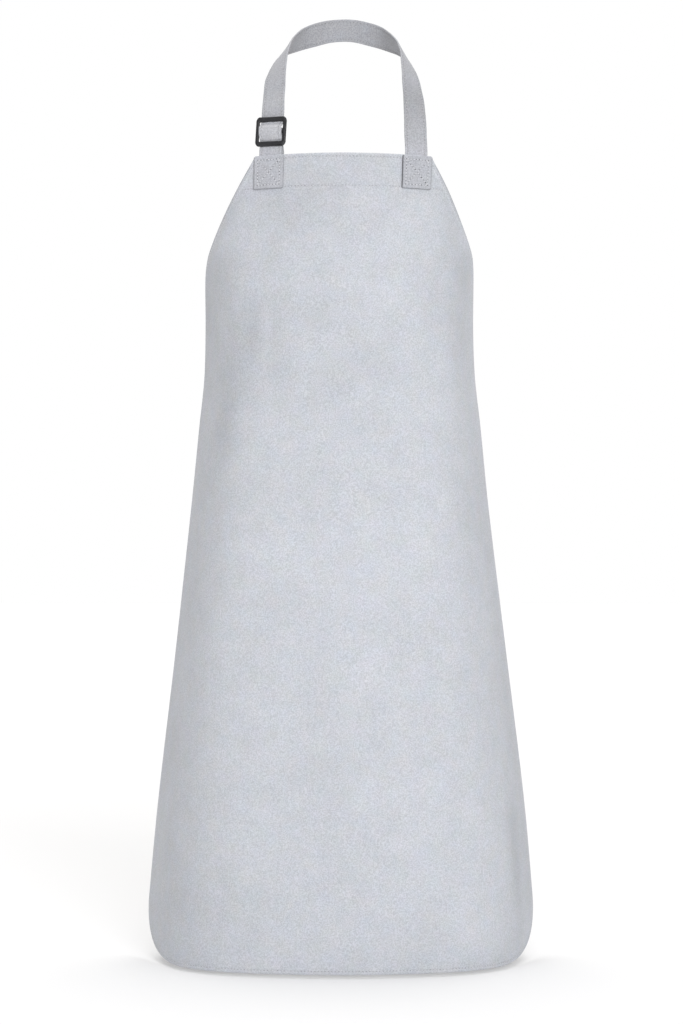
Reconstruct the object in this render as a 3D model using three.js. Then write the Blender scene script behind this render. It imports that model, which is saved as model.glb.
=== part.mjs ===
// Leather work apron, in the form that it takes when it is worn: a bib and skirt cut from one
// hide, wrapped round the front of the body, and a neck strap with a three-bar slide.
// Millimetres, +Z up, the front faces -Y and +X is the viewer's right. The origin is on the
// inner face of the neck strap at the nape.
import * as THREE from "three";
import { mergeVertices } from "three/addons/utils/BufferGeometryUtils.js";

// Leather, the gap between pieces that lie against each other, and the looser gap between
// pieces that bend differently
const WALL = 1.5;
const STRAP_THICKNESS = 1.8;
const TAB_THICKNESS = 1.2;
const PATCH_THICKNESS = 1.4;
const GAP = 0.3;
const LOOSE_GAP = 0.5;

// Panel: heights, and half widths as they stand when worn
const BIB_HEIGHT = 138;
const SKIRT_LENGTH = 776;
const BIB_HALF_WIDTH = 99;
const CHEST_HALF_WIDTH = 154.5;
const HEM_HALF_WIDTH = 230;

// Panel: how far the side edges stand back from the middle of the front
const BIB_WRAP = 17;
const CHEST_WRAP = 112;
const HEM_WRAP = 165;

// Panel: edges, corners and the small forms of the hide
const TURN_WIDTH = 8;
const TOP_TURN = 40;
const CORNER_WIDTH = 124;
const CORNER_HEIGHT = 66;
const TOP_ARCH = 2.5;
const FRONT_SWELL = 16;
const SWAY = 6;
const DENT_DEPTH = 6;
const SIDE_POWER = 7;

// Neck loop: the bib's top edge hangs this far below the nape and stands this far in front
const NECK_RISE = 163;
const NECK_REACH = 155;

// Patches and strap ends: the patches start a little below the top edge and reach a little
// past the bib's corners, and the tab lies a little further in than the strap in front of it
const PATCH_WIDTH = 35;
const PATCH_HEIGHT = 38;
const PATCH_SETBACK = 0.8;
const PATCH_OVERHANG = 0.6;
const STRAP_WIDTH = 26;
const STRAP_END = 34;
const END_GAP = 1;
const STRAP_BEVEL = 0.3;
const TAB_ASIDE = 1.8;

// Three-bar slide, and the straight stretch of strap that it sits on
const SLIDE_RISE = 27.2;
const SLIDE_BAR = 5.4;
const SLIDE_SIDE_BAR = 4;
const SLIDE_CENTRE_BAR = 3.6;
const SLIDE_HEIGHT = 34.4;
const SLIDE_THICKNESS = 3.2;
const SLIDE_EDGE = 0.8;
const SLIDE_CORNER = 5.5;
const WINDOW_CORNER = 1.6;
const SLIDE_SIDE_GAP = 0.7;
const STRAIGHT_LENGTH = 58;
const LEAN_BACK = 12.5;
const LEAN_IN = 3;

// Sections of the bib from its top edge (drop 0) to the end of the armhole (drop 1). spread
// and deepen run from the bib's own width and wrap (0) to the chest's (1), turn is the share
// of the wrap that lies in the turned sides, swell and sway are shares of the named sizes.
const BIB_SECTIONS = [
  { drop: 0.0, spread: 0.0, deepen: 0.0, turn: 0.05, swell: 0.0, sway: 0.0 },
  { drop: 0.26, spread: 0.368, deepen: 0.19, turn: 0.25, swell: 0.22, sway: -0.2 },
  { drop: 0.51, spread: 0.672, deepen: 0.46, turn: 0.45, swell: 0.42, sway: -0.5 },
  { drop: 0.755, spread: 0.925, deepen: 0.76, turn: 0.58, swell: 0.58, sway: -0.75 },
  { drop: 0.88, spread: 0.985, deepen: 0.91, turn: 0.62, swell: 0.66, sway: -0.9 },
  { drop: 1.0, spread: 1.0, deepen: 1.0, turn: 0.64, swell: 0.72, sway: -1.0 },
];

// Sections of the skirt below the armholes (drop 0) down to the hem (drop 1)
const SKIRT_SECTIONS = [
  { drop: 0.07, spread: -0.004, deepen: 0.05, turn: 0.65, swell: 0.8, sway: -1.05 },
  { drop: 0.14, spread: 0.02, deepen: 0.1, turn: 0.65, swell: 0.88, sway: -1.0 },
  { drop: 0.21, spread: 0.1, deepen: 0.17, turn: 0.65, swell: 0.94, sway: -0.95 },
  { drop: 0.33, spread: 0.228, deepen: 0.3, turn: 0.65, swell: 1.0, sway: -0.9 },
  { drop: 0.55, spread: 0.5, deepen: 0.56, turn: 0.65, swell: 1.0, sway: -0.65 },
  { drop: 0.78, spread: 0.79, deepen: 0.8, turn: 0.66, swell: 0.9, sway: -0.5 },
  { drop: 1.0, spread: 1.0, deepen: 1.0, turn: 0.66, swell: 0.78, sway: -0.5 },
];

// The left side wraps a little further than the right one at the chest, and evens out below
const SIDE_LEAN = [
  { drop: 0.0, left: 0.0 },
  { drop: 0.2, left: 0.08 },
  { drop: 0.5, left: 0.05 },
  { drop: 1.0, left: 0.0 },
];

// Soft dents and ridges. across is a share of the half width at that height, drop and high
// are shares of the whole panel's length, wide is a share of the hem's half width.
const DENTS = [
  { across: -0.6, drop: 0.22, wide: 0.09, high: 0.12, depth: 1.0 },
  { across: -0.36, drop: 0.2, wide: 0.1, high: 0.13, depth: -0.45 },
  { across: 0.66, drop: 0.2, wide: 0.08, high: 0.12, depth: 0.6 },
  { across: 0.1, drop: 0.13, wide: 0.22, high: 0.05, depth: 0.45 },
  { across: -0.28, drop: 0.62, wide: 0.16, high: 0.24, depth: 0.55 },
  { across: 0.36, drop: 0.72, wide: 0.14, high: 0.22, depth: 0.5 },
  { across: 0.04, drop: 0.8, wide: 0.12, high: 0.2, depth: -0.5 },
];

// Neck strap from each side of the bib up to the nape. across is a share of the distance
// from the middle to the strap at the bib, back and up are shares of the way from the bib to
// the nape, facing is the compass turn of the outer face (0 to the front, 180 to the back)
// and lean is how many degrees that face looks up, where the strap lies over the shoulder.
const RIGHT_ROUTE = [
  { across: 0.992, back: 0.05, up: 0.18, facing: 15, lean: 0 },
  { across: 0.98, back: 0.125, up: 0.35, facing: 22, lean: 0 },
  { across: 0.95, back: 0.24, up: 0.515, facing: 32, lean: 3 },
  { across: 0.91, back: 0.38, up: 0.66, facing: 47, lean: 10 },
  { across: 0.848, back: 0.57, up: 0.778, facing: 70, lean: 19 },
  { across: 0.728, back: 0.77, up: 0.864, facing: 100, lean: 23 },
  { across: 0.56, back: 0.92, up: 0.929, facing: 132, lean: 17 },
  { across: 0.37, back: 0.98, up: 0.97, facing: 156, lean: 8 },
  { across: 0.19, back: 0.995, up: 0.992, facing: 170, lean: 3 },
];
const LEFT_ROUTE = [
  { across: 0.955, back: 0.17, up: 0.45, facing: 19, lean: 0 },
  { across: 0.938, back: 0.25, up: 0.57, facing: 26, lean: 3 },
  { across: 0.907, back: 0.37, up: 0.665, facing: 36, lean: 10 },
  { across: 0.848, back: 0.56, up: 0.775, facing: 56, lean: 20 },
  { across: 0.735, back: 0.76, up: 0.862, facing: 92, lean: 25 },
  { across: 0.565, back: 0.915, up: 0.927, facing: 128, lean: 18 },
  { across: 0.37, back: 0.98, up: 0.969, facing: 155, lean: 8 },
  { across: 0.19, back: 0.995, up: 0.991, facing: 170, lean: 3 },
];

// Fineness of the meshes
const PANEL_COLUMNS = 30;
const BIB_ROWS = 6;
const SKIRT_ROWS = 17;
const CORNER_ROWS = 6;
const FOLD_STEPS = 3;
const PATCH_CELLS = 5;
const STRAP_STEP = 9;
const THREAD_STEP = 1.5;
const LOOP_STEPS = 8;
const ARC_STEPS = 60;
const ROUTE_STEPS = 24;
const OVERRUN = 0.2;

const PANEL_LENGTH = BIB_HEIGHT + SKIRT_LENGTH;
const BIB_TOP = -NECK_RISE;

// Small helpers
const mix = (a, b, share) => a + (b - a) * share;
const ease = (share) => THREE.MathUtils.smoothstep(share, 0, 1);

// Smooth value of one named column of a table of rows at a given drop
function column(rows, name, drop) {
  const last = rows.length - 1;
  let i = 0;
  while (i < last - 1 && drop > rows[i + 1].drop) i += 1;
  const span = rows[i + 1].drop - rows[i].drop;
  const share = THREE.MathUtils.clamp((drop - rows[i].drop) / span, 0, 1);
  const slope = (k) => {
    const a = rows[Math.max(k - 1, 0)];
    const b = rows[Math.min(k + 1, last)];
    return (b[name] - a[name]) / (b.drop - a.drop);
  };
  const s2 = share * share;
  const s3 = s2 * share;
  return (
    (2 * s3 - 3 * s2 + 1) * rows[i][name] +
    (s3 - 2 * s2 + share) * span * slope(i) +
    (3 * s2 - 2 * s3) * rows[i + 1][name] +
    (s3 - s2) * span * slope(i + 1)
  );
}

// One table of sections in millimetres of drop, made from the bib's and the skirt's tables
const SECTIONS = [
  ...BIB_SECTIONS.map((row) => ({
    drop: row.drop * BIB_HEIGHT,
    half: mix(BIB_HALF_WIDTH, CHEST_HALF_WIDTH, row.spread),
    wrap: mix(BIB_WRAP, CHEST_WRAP, row.deepen),
    turn: row.turn,
    swell: row.swell * FRONT_SWELL,
    sway: row.sway * SWAY,
  })),
  ...SKIRT_SECTIONS.map((row) => ({
    drop: BIB_HEIGHT + row.drop * SKIRT_LENGTH,
    half: mix(CHEST_HALF_WIDTH, HEM_HALF_WIDTH, row.spread),
    wrap: mix(CHEST_WRAP, HEM_WRAP, row.deepen),
    turn: row.turn,
    swell: row.swell * FRONT_SWELL,
    sway: row.sway * SWAY,
  })),
];

// The panel's cross-section at a drop, for one side: -1 for the left, 1 for the right
function sectionAt(drop, side) {
  const wrap = column(SECTIONS, "wrap", drop);
  const lean = column(SIDE_LEAN, "left", drop / PANEL_LENGTH);
  return {
    half: column(SECTIONS, "half", drop),
    wrap: wrap * (1 - side * lean),
    turn: column(SECTIONS, "turn", drop),
    swell: column(SECTIONS, "swell", drop),
    sway: column(SECTIONS, "sway", drop),
  };
}

// How far back the section stands at a share u of its half width: a gentle arc over the
// front, and sides that turn back near the edge
function setback(section, u) {
  const gentle = (1 - section.turn) * u * u;
  const turned = section.turn * u ** SIDE_POWER;
  return section.wrap * (gentle + turned);
}

// Share of the half width that lies a distance along the leather from the middle
function shareAlong(section, along) {
  let length = 0;
  let u = 0;
  const step = (1 + OVERRUN) / ARC_STEPS;
  for (let i = 0; i < ARC_STEPS; i += 1) {
    const rise = setback(section, u + step) - setback(section, u);
    const piece = Math.hypot(section.half * step, rise);
    if (length + piece >= along) return u + (step * (along - length)) / piece;
    length += piece;
    u += step;
  }
  return u;
}

// Distance along the leather from the middle to the side edge, one half of the flat pattern
function flatHalfWidth(drop) {
  const lengths = [-1, 1].map((side) => {
    const section = sectionAt(drop, side);
    let length = 0;
    for (let i = 0; i < ARC_STEPS; i += 1) {
      const rise = setback(section, (i + 1) / ARC_STEPS) - setback(section, i / ARC_STEPS);
      length += Math.hypot(section.half / ARC_STEPS, rise);
    }
    return length;
  });
  return (lengths[0] + lengths[1]) / 2;
}

// Depth of the soft dents at a point of the front
function dentDepth(x, drop) {
  const half = column(SECTIONS, "half", drop);
  return DENTS.reduce((sum, dent) => {
    const dx = (x - dent.across * half) / (dent.wide * HEM_HALF_WIDTH);
    const dz = (drop / PANEL_LENGTH - dent.drop) / dent.high;
    return sum + dent.depth * DENT_DEPTH * Math.exp(-dx * dx - dz * dz);
  }, 0);
}

// Point on the panel's front face: flat is the distance along the leather from the middle
function frontPoint(flat, drop) {
  const side = flat < 0 ? -1 : 1;
  const section = sectionAt(drop, side);
  const u = shareAlong(section, Math.abs(flat));
  const x = section.sway + side * section.half * u;
  const arch = TOP_ARCH * u * u * (1 - ease(drop / BIB_HEIGHT));
  const y = -NECK_REACH - section.swell + setback(section, u) + dentDepth(x, drop);
  return new THREE.Vector3(x, y, BIB_TOP - drop - arch);
}

// Outward normal of the front face, from two short steps along the leather
function frontNormal(flat, drop) {
  const reach = 1;
  const high = Math.max(drop - reach, 0);
  const across = frontPoint(flat + reach, drop).sub(frontPoint(flat - reach, drop));
  const down = frontPoint(flat, high + 2 * reach).sub(frontPoint(flat, high));
  return down.cross(across).normalize();
}

// Point a given depth behind the front face
function panelPoint(flat, drop, depth) {
  return frontPoint(flat, drop).addScaledVector(frontNormal(flat, drop), -depth);
}

// Indexed mesh that is filled point by point and quad by quad
class Shell {
  constructor() {
    this.positions = [];
    this.indices = [];
  }

  point(v) {
    this.positions.push(v.x, v.y, v.z);
    return this.positions.length / 3 - 1;
  }

  quad(a, b, c, d) {
    this.indices.push(a, b, c, a, c, d);
  }

  strip(a, b) {
    a.forEach((_, i) => {
      const next = (i + 1) % a.length;
      this.quad(a[i], a[next], b[next], b[i]);
    });
  }

  geometry() {
    const geometry = new THREE.BufferGeometry();
    geometry.setAttribute("position", new THREE.Float32BufferAttribute(this.positions, 3));
    geometry.setIndex(this.indices);
    const merged = mergeVertices(geometry, 1e-3);
    merged.computeVertexNormals();
    return merged;
  }
}

// Drop of each row of the outline, from the top edge to the hem
function outlineRows() {
  const rows = [];
  const topTurn = TOP_TURN - TURN_WIDTH / 2;
  const topRows = Math.round(BIB_ROWS / 2);
  const cornerTop = PANEL_LENGTH - CORNER_HEIGHT;
  for (let i = 0; i < topRows; i += 1) rows.push((topTurn * i) / topRows);
  for (let i = 0; i < BIB_ROWS; i += 1) rows.push(mix(topTurn, BIB_HEIGHT, i / BIB_ROWS));
  for (let i = 0; i < SKIRT_ROWS; i += 1) rows.push(mix(BIB_HEIGHT, cornerTop, i / SKIRT_ROWS));
  for (let i = 0; i <= CORNER_ROWS; i += 1) {
    rows.push(cornerTop + CORNER_HEIGHT * Math.sin((Math.PI / 2) * (i / CORNER_ROWS)));
  }
  return { rows, topRow: topRows };
}

// Flat point of the right-hand outline at a row, moved inwards by an inset
function outlinePoint(drop, inset) {
  if (drop === 0) {
    const slope = flatHalfWidth(inset + 1) - flatHalfWidth(inset);
    return { flat: flatHalfWidth(inset) - inset * Math.hypot(1, slope), drop: inset };
  }
  const above = PANEL_LENGTH - CORNER_HEIGHT;
  if (drop <= above) {
    const slope = (flatHalfWidth(drop + 1) - flatHalfWidth(drop - 1)) / 2;
    const size = Math.hypot(1, slope);
    return {
      flat: flatHalfWidth(drop) - inset / size,
      drop: drop + (inset * slope) / size,
    };
  }
  const angle = Math.asin(Math.min((drop - above) / CORNER_HEIGHT, 1));
  const out = CORNER_HEIGHT * Math.cos(angle);
  const down = CORNER_WIDTH * Math.sin(angle);
  const size = Math.hypot(out, down);
  return {
    flat: flatHalfWidth(drop) - CORNER_WIDTH * (1 - Math.cos(angle)) - (inset * out) / size,
    drop: above + CORNER_HEIGHT * Math.sin(angle) - (inset * down) / size,
  };
}

// Closed ring of flat points at an inset, clockwise from the bib's left corner as seen from
// the front: along the top, down the right side, along the hem and up the left side
function outlineRing(rows, inset) {
  const side = rows.map((drop) => outlinePoint(drop, inset));
  const last = rows.length - 1;
  const share = (k) => (2 * k) / PANEL_COLUMNS - 1;
  const ring = [];
  for (let k = 0; k < PANEL_COLUMNS; k += 1) {
    ring.push({ flat: share(k) * side[0].flat, drop: side[0].drop });
  }
  for (let j = 0; j < last; j += 1) ring.push(side[j]);
  for (let k = PANEL_COLUMNS; k > 0; k -= 1) {
    ring.push({ flat: share(k) * side[last].flat, drop: side[last].drop });
  }
  for (let j = last; j > 0; j -= 1) ring.push({ flat: -side[j].flat, drop: side[j].drop });
  return ring;
}

// Bib and skirt: one hide, its edges turned to the back and stitched down, the top edge
// turned deeper than the others
function panelGeometry() {
  const shell = new Shell();
  const { rows, topRow } = outlineRows();
  const inner = rows.map((drop) => outlinePoint(drop, TURN_WIDTH));
  const last = rows.length - 1;
  const grid = (depth, from, to) =>
    inner.map((row, j) => {
      if (j < from || j > to) return [];
      return Array.from({ length: PANEL_COLUMNS + 1 }, (_, k) => {
        const flat = ((2 * k) / PANEL_COLUMNS - 1) * row.flat;
        return shell.point(panelPoint(flat, row.drop, depth));
      });
    });
  const front = grid(0, 0, last);
  const single = grid(WALL, topRow, last);
  const double = grid(2 * WALL, 0, last);
  const cells = (net, from, to, flip) => {
    for (let j = from; j < to; j += 1) {
      for (let k = 0; k < PANEL_COLUMNS; k += 1) {
        const corners = [net[j][k], net[j + 1][k], net[j + 1][k + 1], net[j][k + 1]];
        if (flip) corners.reverse();
        shell.quad(...corners);
      }
    }
  };
  cells(front, 0, last, false);
  cells(double, 0, topRow, true);
  cells(single, topRow, last, true);

  const border = (net, top) => {
    const loop = [];
    for (let k = 0; k < PANEL_COLUMNS; k += 1) loop.push(net[top][k]);
    for (let j = top; j < last; j += 1) loop.push(net[j][PANEL_COLUMNS]);
    for (let k = PANEL_COLUMNS; k > 0; k -= 1) loop.push(net[last][k]);
    for (let j = last; j > top; j -= 1) loop.push(net[j][0]);
    return loop;
  };
  let ring = border(front, 0);
  for (let i = 0; i <= FOLD_STEPS; i += 1) {
    const angle = (Math.PI * i) / FOLD_STEPS;
    const inset = WALL * (1 - Math.sin(angle));
    const depth = WALL * (1 - Math.cos(angle));
    const next = outlineRing(rows, inset).map((p) =>
      shell.point(panelPoint(p.flat, p.drop, depth)),
    );
    shell.strip(ring, next);
    ring = next;
  }
  shell.strip(ring, border(double, 0));
  shell.strip(border(double, topRow), border(single, topRow));
  return shell.geometry();
}

// Square patch on the front of the bib, over its top corner: -1 left, 1 right
function patchGeometry(side) {
  const shell = new Shell();
  const outer = side * (flatHalfWidth(0) + PATCH_OVERHANG);
  const innerEdge = outer - side * PATCH_WIDTH;
  const left = Math.min(outer, innerEdge);
  const net = (height) =>
    Array.from({ length: PATCH_CELLS + 1 }, (_, j) =>
      Array.from({ length: PATCH_CELLS + 1 }, (_, k) => {
        const flat = left + (PATCH_WIDTH * k) / PATCH_CELLS;
        const drop = PATCH_SETBACK + (PATCH_HEIGHT * j) / PATCH_CELLS;
        return shell.point(panelPoint(flat, drop, -height));
      }),
    );
  const front = net(LOOSE_GAP + PATCH_THICKNESS);
  const back = net(LOOSE_GAP);
  for (let j = 0; j < PATCH_CELLS; j += 1) {
    for (let k = 0; k < PATCH_CELLS; k += 1) {
      shell.quad(front[j][k], front[j + 1][k], front[j + 1][k + 1], front[j][k + 1]);
      shell.quad(back[j][k], back[j][k + 1], back[j + 1][k + 1], back[j + 1][k]);
    }
  }
  const border = (grid) => [
    ...grid[0].slice(0, -1),
    ...grid.slice(0, -1).map((row) => row[PATCH_CELLS]),
    ...grid[PATCH_CELLS].slice(1).reverse(),
    ...grid.slice(1).reverse().map((row) => row[0]),
  ];
  shell.strip(border(front), border(back));
  return shell.geometry();
}

// Where the strap ends lie behind the bib: the middle of each patch
const strapFlat = () => flatHalfWidth(0) + PATCH_OVERHANG - PATCH_WIDTH / 2;
const TAB_BEHIND = STRAP_THICKNESS / 2 + LOOSE_GAP + TAB_THICKNESS / 2;

// Frame behind the bib at a drop below its top edge. rest is the distance from the doubled
// leather's back to the strap's middle line, and the flat strap clears the curved leather.
function bibFrame(side, drop, rest) {
  const flat = side * strapFlat();
  const face = frontNormal(flat, drop);
  const back = panelPoint(flat, drop, 2 * WALL);
  const bows = [-1, 1].map((edge) =>
    back.clone().sub(panelPoint(flat + (edge * STRAP_WIDTH) / 2, drop, 2 * WALL)).dot(face),
  );
  return { at: back.addScaledVector(face, -rest - Math.max(0, ...bows)), face };
}

// Frames along the strap's middle line, from behind the bib on the right, round the nape and
// down to behind the bib on the left
function strapFrames() {
  const rest = END_GAP + STRAP_THICKNESS / 2;
  const drops = [STRAP_END, STRAP_END / 2, 0];
  const right = drops.map((drop) => bibFrame(1, drop, rest));
  const left = drops.map((drop) => bibFrame(-1, drop, rest));
  const rightTop = right[2];
  const leftTop = left[2];
  const compass = (side, facing, lean) => {
    const turn = THREE.MathUtils.degToRad(facing);
    const tilt = THREE.MathUtils.degToRad(lean);
    return new THREE.Vector3(
      side * Math.sin(turn) * Math.cos(tilt),
      -Math.cos(turn) * Math.cos(tilt),
      Math.sin(tilt),
    );
  };
  const nape = { at: new THREE.Vector3(0, STRAP_THICKNESS / 2, 0), face: compass(1, 180, 0) };
  const climb = (rows, start, side) =>
    rows.map((row) => ({
      at: new THREE.Vector3(
        start.at.x * row.across,
        mix(start.at.y, nape.at.y, row.back),
        mix(start.at.z, nape.at.z, row.up),
      ),
      face: compass(side, row.facing, row.lean),
    }));
  const leanBack = Math.tan(THREE.MathUtils.degToRad(LEAN_BACK));
  const leanIn = Math.tan(THREE.MathUtils.degToRad(LEAN_IN));
  const rise = new THREE.Vector3(leanIn, leanBack, 1).normalize();
  const straight = [0.25, 0.5, 0.75, 1].map((share) => ({
    at: leftTop.at.clone().addScaledVector(rise, share * STRAIGHT_LENGTH),
    face: leftTop.face.clone(),
  }));
  return {
    frames: [
      ...right,
      ...climb(RIGHT_ROUTE, rightTop, 1),
      nape,
      ...climb(LEFT_ROUTE, leftTop, -1).reverse(),
      ...straight.reverse(),
      ...left.reverse(),
    ],
    endFrames: drops.length,
  };
}

// Smooth route through the frames: at(distance) gives the point, the way along the strap,
// the outer face's normal and the direction across the strap
function strapRoute() {
  const { frames, endFrames } = strapFrames();
  const steps = ROUTE_STEPS * (frames.length - 1);
  const line = new THREE.CatmullRomCurve3(frames.map((frame) => frame.at), false, "centripetal");
  const faces = new THREE.CatmullRomCurve3(frames.map((frame) => frame.face), false, "centripetal");
  line.arcLengthDivisions = steps;
  const lengths = line.getLengths(steps);
  const length = lengths[steps];
  const share = (frames.length - endFrames) / (frames.length - 1);
  const leftTop = lengths[Math.round(share * steps)];
  const at = (distance) => {
    const t = line.getUtoTmapping(0, Math.min(distance, length));
    const along = line.getTangent(t);
    const across = along.clone().cross(faces.getPoint(t)).normalize();
    const face = across.clone().cross(along).normalize();
    return { point: line.getPoint(t), along, face, across };
  };
  return { at, length, slideAt: leftTop - SLIDE_RISE };
}

// Flat strap through a list of stations, each with a point and a direction across. Its edges
// are bevelled, and the turns of the section follow the path from station to station.
function ribbonGeometry(stations, width, thickness) {
  const shell = new Shell();
  const half = width / 2;
  const edge = thickness * STRAP_BEVEL;
  const profile = [
    [-half, -thickness / 2 + edge],
    [-half + edge, -thickness / 2],
    [half - edge, -thickness / 2],
    [half, -thickness / 2 + edge],
    [half, thickness / 2 - edge],
    [half - edge, thickness / 2],
    [-half + edge, thickness / 2],
    [-half, thickness / 2 - edge],
  ];
  const rings = stations.map((station, i) => {
    const before = stations[Math.max(i - 1, 0)].point;
    const after = stations[Math.min(i + 1, stations.length - 1)].point;
    const along = after.clone().sub(before).normalize();
    const face = station.across.clone().cross(along).normalize();
    const across = along.clone().cross(face);
    return profile.map(([w, n]) =>
      shell.point(station.point.clone().addScaledVector(across, w).addScaledVector(face, n)),
    );
  });
  for (let i = 1; i < rings.length; i += 1) shell.strip(rings[i], rings[i - 1]);
  const cap = (ring, flip) => {
    const order = flip ? [...ring].reverse() : ring;
    shell.quad(order[0], order[1], order[2], order[3]);
    shell.quad(order[0], order[3], order[4], order[7]);
    shell.quad(order[4], order[5], order[6], order[7]);
  };
  cap(rings[0], false);
  cap(rings[rings.length - 1], true);
  return shell.geometry();
}

// Distances through the slide, measured out from the strap's middle line
const SLIDE_OUT = STRAP_THICKNESS / 2 + LOOSE_GAP + SLIDE_THICKNESS / 2;
const LOOP_RADIUS = SLIDE_THICKNESS / 2 + GAP + TAB_THICKNESS / 2;
const TAB_OVER = SLIDE_OUT + LOOP_RADIUS;
const STRAP_OVER = TAB_OVER + TAB_THICKNESS / 2 + LOOSE_GAP + STRAP_THICKNESS / 2;
const WINDOW_END = SLIDE_HEIGHT / 2 - SLIDE_BAR;
const LOOP_LIFT = SLIDE_CENTRE_BAR / 2 - SLIDE_EDGE;
const STRAP_CREST = LOOP_LIFT + LOOP_RADIUS - TAB_THICKNESS;
const TAB_CREST = LOOP_LIFT + TAB_THICKNESS / 2;

// Neck strap: from behind the right of the bib, round the nape, behind the slide's top bar,
// over its middle bar, behind its bottom bar, and down behind the left of the bib
function strapGeometry(route) {
  const stations = [];
  const end = route.length;
  const near = SLIDE_HEIGHT / 2;
  let distance = 0;
  while (distance < end) {
    stations.push(distance);
    const close = Math.abs(distance + STRAP_STEP / 2 - route.slideAt) < near + STRAP_STEP / 2;
    distance += close ? THREAD_STEP : STRAP_STEP;
  }
  if (end - stations[stations.length - 1] < THREAD_STEP / 2) stations.pop();
  stations.push(end);
  const points = stations.map((d) => {
    const frame = route.at(d);
    const away = Math.abs(d - route.slideAt);
    const share = ease((WINDOW_END - away) / (WINDOW_END - STRAP_CREST));
    return {
      point: frame.point.addScaledVector(frame.face, STRAP_OVER * share),
      across: frame.across,
    };
  });
  return ribbonGeometry(points, STRAP_WIDTH, STRAP_THICKNESS);
}

// Tab that carries the slide: from behind the strap's left end, up behind the bottom bar,
// round the middle bar and down again. Below the slide it drifts aside.
function tabGeometry(route) {
  const reach = WINDOW_END - TAB_THICKNESS;
  const bottom = route.length - route.slideAt;
  const crossing = (below, from, to) =>
    mix(from, to, ease((reach - below) / (reach - TAB_CREST)));
  const belows = [];
  for (let below = -LOOP_LIFT; below < reach + THREAD_STEP; below += THREAD_STEP) {
    belows.push(below);
  }
  const steps = Math.ceil((bottom - reach) / STRAP_STEP);
  for (let i = 1; i <= steps; i += 1) belows.push(mix(reach + THREAD_STEP, bottom, i / steps));
  const leg = (out, over) =>
    belows.map((below) => ({ below, out: crossing(below, out, over) }));
  const front = leg(-TAB_BEHIND, TAB_OVER).reverse();
  const back = leg(-TAB_BEHIND - TAB_THICKNESS - GAP, SLIDE_OUT - LOOP_RADIUS);
  const loop = [];
  for (let i = 1; i < LOOP_STEPS; i += 1) {
    const angle = (Math.PI * i) / LOOP_STEPS;
    loop.push({
      below: -LOOP_LIFT - LOOP_RADIUS * Math.sin(angle),
      out: SLIDE_OUT + LOOP_RADIUS * Math.cos(angle),
    });
  }
  const points = [...front, ...loop, ...back].map(({ below, out }) => {
    const frame = route.at(route.slideAt + below);
    const drift = ease((below - WINDOW_END) / (SLIDE_RISE - WINDOW_END));
    frame.point.addScaledVector(frame.across, -TAB_ASIDE * drift);
    return {
      point: frame.point.addScaledVector(frame.face, out),
      across: frame.across.negate(),
    };
  });
  return ribbonGeometry(points, STRAP_WIDTH, TAB_THICKNESS);
}

// Rounded rectangle as a shape or, for a window, as a hole
function roundedRectangle(target, width, height, radius, centreY) {
  const x = width / 2;
  const low = centreY - height / 2;
  const high = centreY + height / 2;
  target.moveTo(-x + radius, low);
  target.lineTo(x - radius, low);
  target.absarc(x - radius, low + radius, radius, -Math.PI / 2, 0, false);
  target.lineTo(x, high - radius);
  target.absarc(x - radius, high - radius, radius, 0, Math.PI / 2, false);
  target.lineTo(-x + radius, high);
  target.absarc(-x + radius, high - radius, radius, Math.PI / 2, Math.PI, false);
  target.lineTo(-x, low + radius);
  target.absarc(-x + radius, low + radius, radius, Math.PI, Math.PI * 1.5, false);
  return target;
}

// Three-bar slide: a rounded frame with two windows, lying flat round the origin
function slideGeometry() {
  const windowWidth = STRAP_WIDTH + 2 * SLIDE_SIDE_GAP;
  const width = windowWidth + 2 * SLIDE_SIDE_BAR;
  const windowHeight = WINDOW_END - SLIDE_CENTRE_BAR / 2;
  const windowCentre = (WINDOW_END + SLIDE_CENTRE_BAR / 2) / 2;
  const shape = roundedRectangle(new THREE.Shape(), width, SLIDE_HEIGHT, SLIDE_CORNER, 0);
  for (const side of [-1, 1]) {
    const hole = new THREE.Path();
    roundedRectangle(hole, windowWidth, windowHeight, WINDOW_CORNER, side * windowCentre);
    shape.holes.push(hole);
  }
  const geometry = new THREE.ExtrudeGeometry(shape, {
    depth: SLIDE_THICKNESS - 2 * SLIDE_EDGE,
    curveSegments: 4,
    bevelThickness: SLIDE_EDGE,
    bevelSize: SLIDE_EDGE,
    bevelOffset: -SLIDE_EDGE,
    bevelSegments: 2,
  });
  geometry.translate(0, 0, SLIDE_EDGE - SLIDE_THICKNESS / 2);
  geometry.deleteAttribute("normal");
  geometry.deleteAttribute("uv");
  const merged = mergeVertices(geometry, 1e-3);
  merged.computeVertexNormals();
  return merged;
}

// Finishes
const suede = new THREE.MeshStandardMaterial({ color: 0xd1d4dc, roughness: 0.95 });
const strapLeather = new THREE.MeshStandardMaterial({ color: 0xb8b8be, roughness: 0.9 });
const patchLeather = new THREE.MeshStandardMaterial({ color: 0xbcbdc4, roughness: 0.92 });
const blackPlastic = new THREE.MeshStandardMaterial({ color: 0x121214, roughness: 0.4 });

function piece(name, geometry, material) {
  const mesh = new THREE.Mesh(geometry, material);
  mesh.name = name;
  return mesh;
}

const route = strapRoute();
const slide = piece("buckle", slideGeometry(), blackPlastic);
const seat = route.at(route.slideAt);
const turned = new THREE.Matrix4();
turned.makeBasis(seat.across.clone().negate(), seat.along.clone().negate(), seat.face);
slide.setRotationFromMatrix(turned);
slide.position.copy(seat.point).addScaledVector(seat.face, SLIDE_OUT);

const apron = new THREE.Group();
apron.add(
  piece("apron_panel", panelGeometry(), suede),
  piece("patch_left", patchGeometry(-1), patchLeather),
  piece("patch_right", patchGeometry(1), patchLeather.clone()),
  piece("neck_strap", strapGeometry(route), strapLeather),
  piece("buckle_tab", tabGeometry(route), strapLeather.clone()),
  slide,
);

export default apron;
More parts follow.
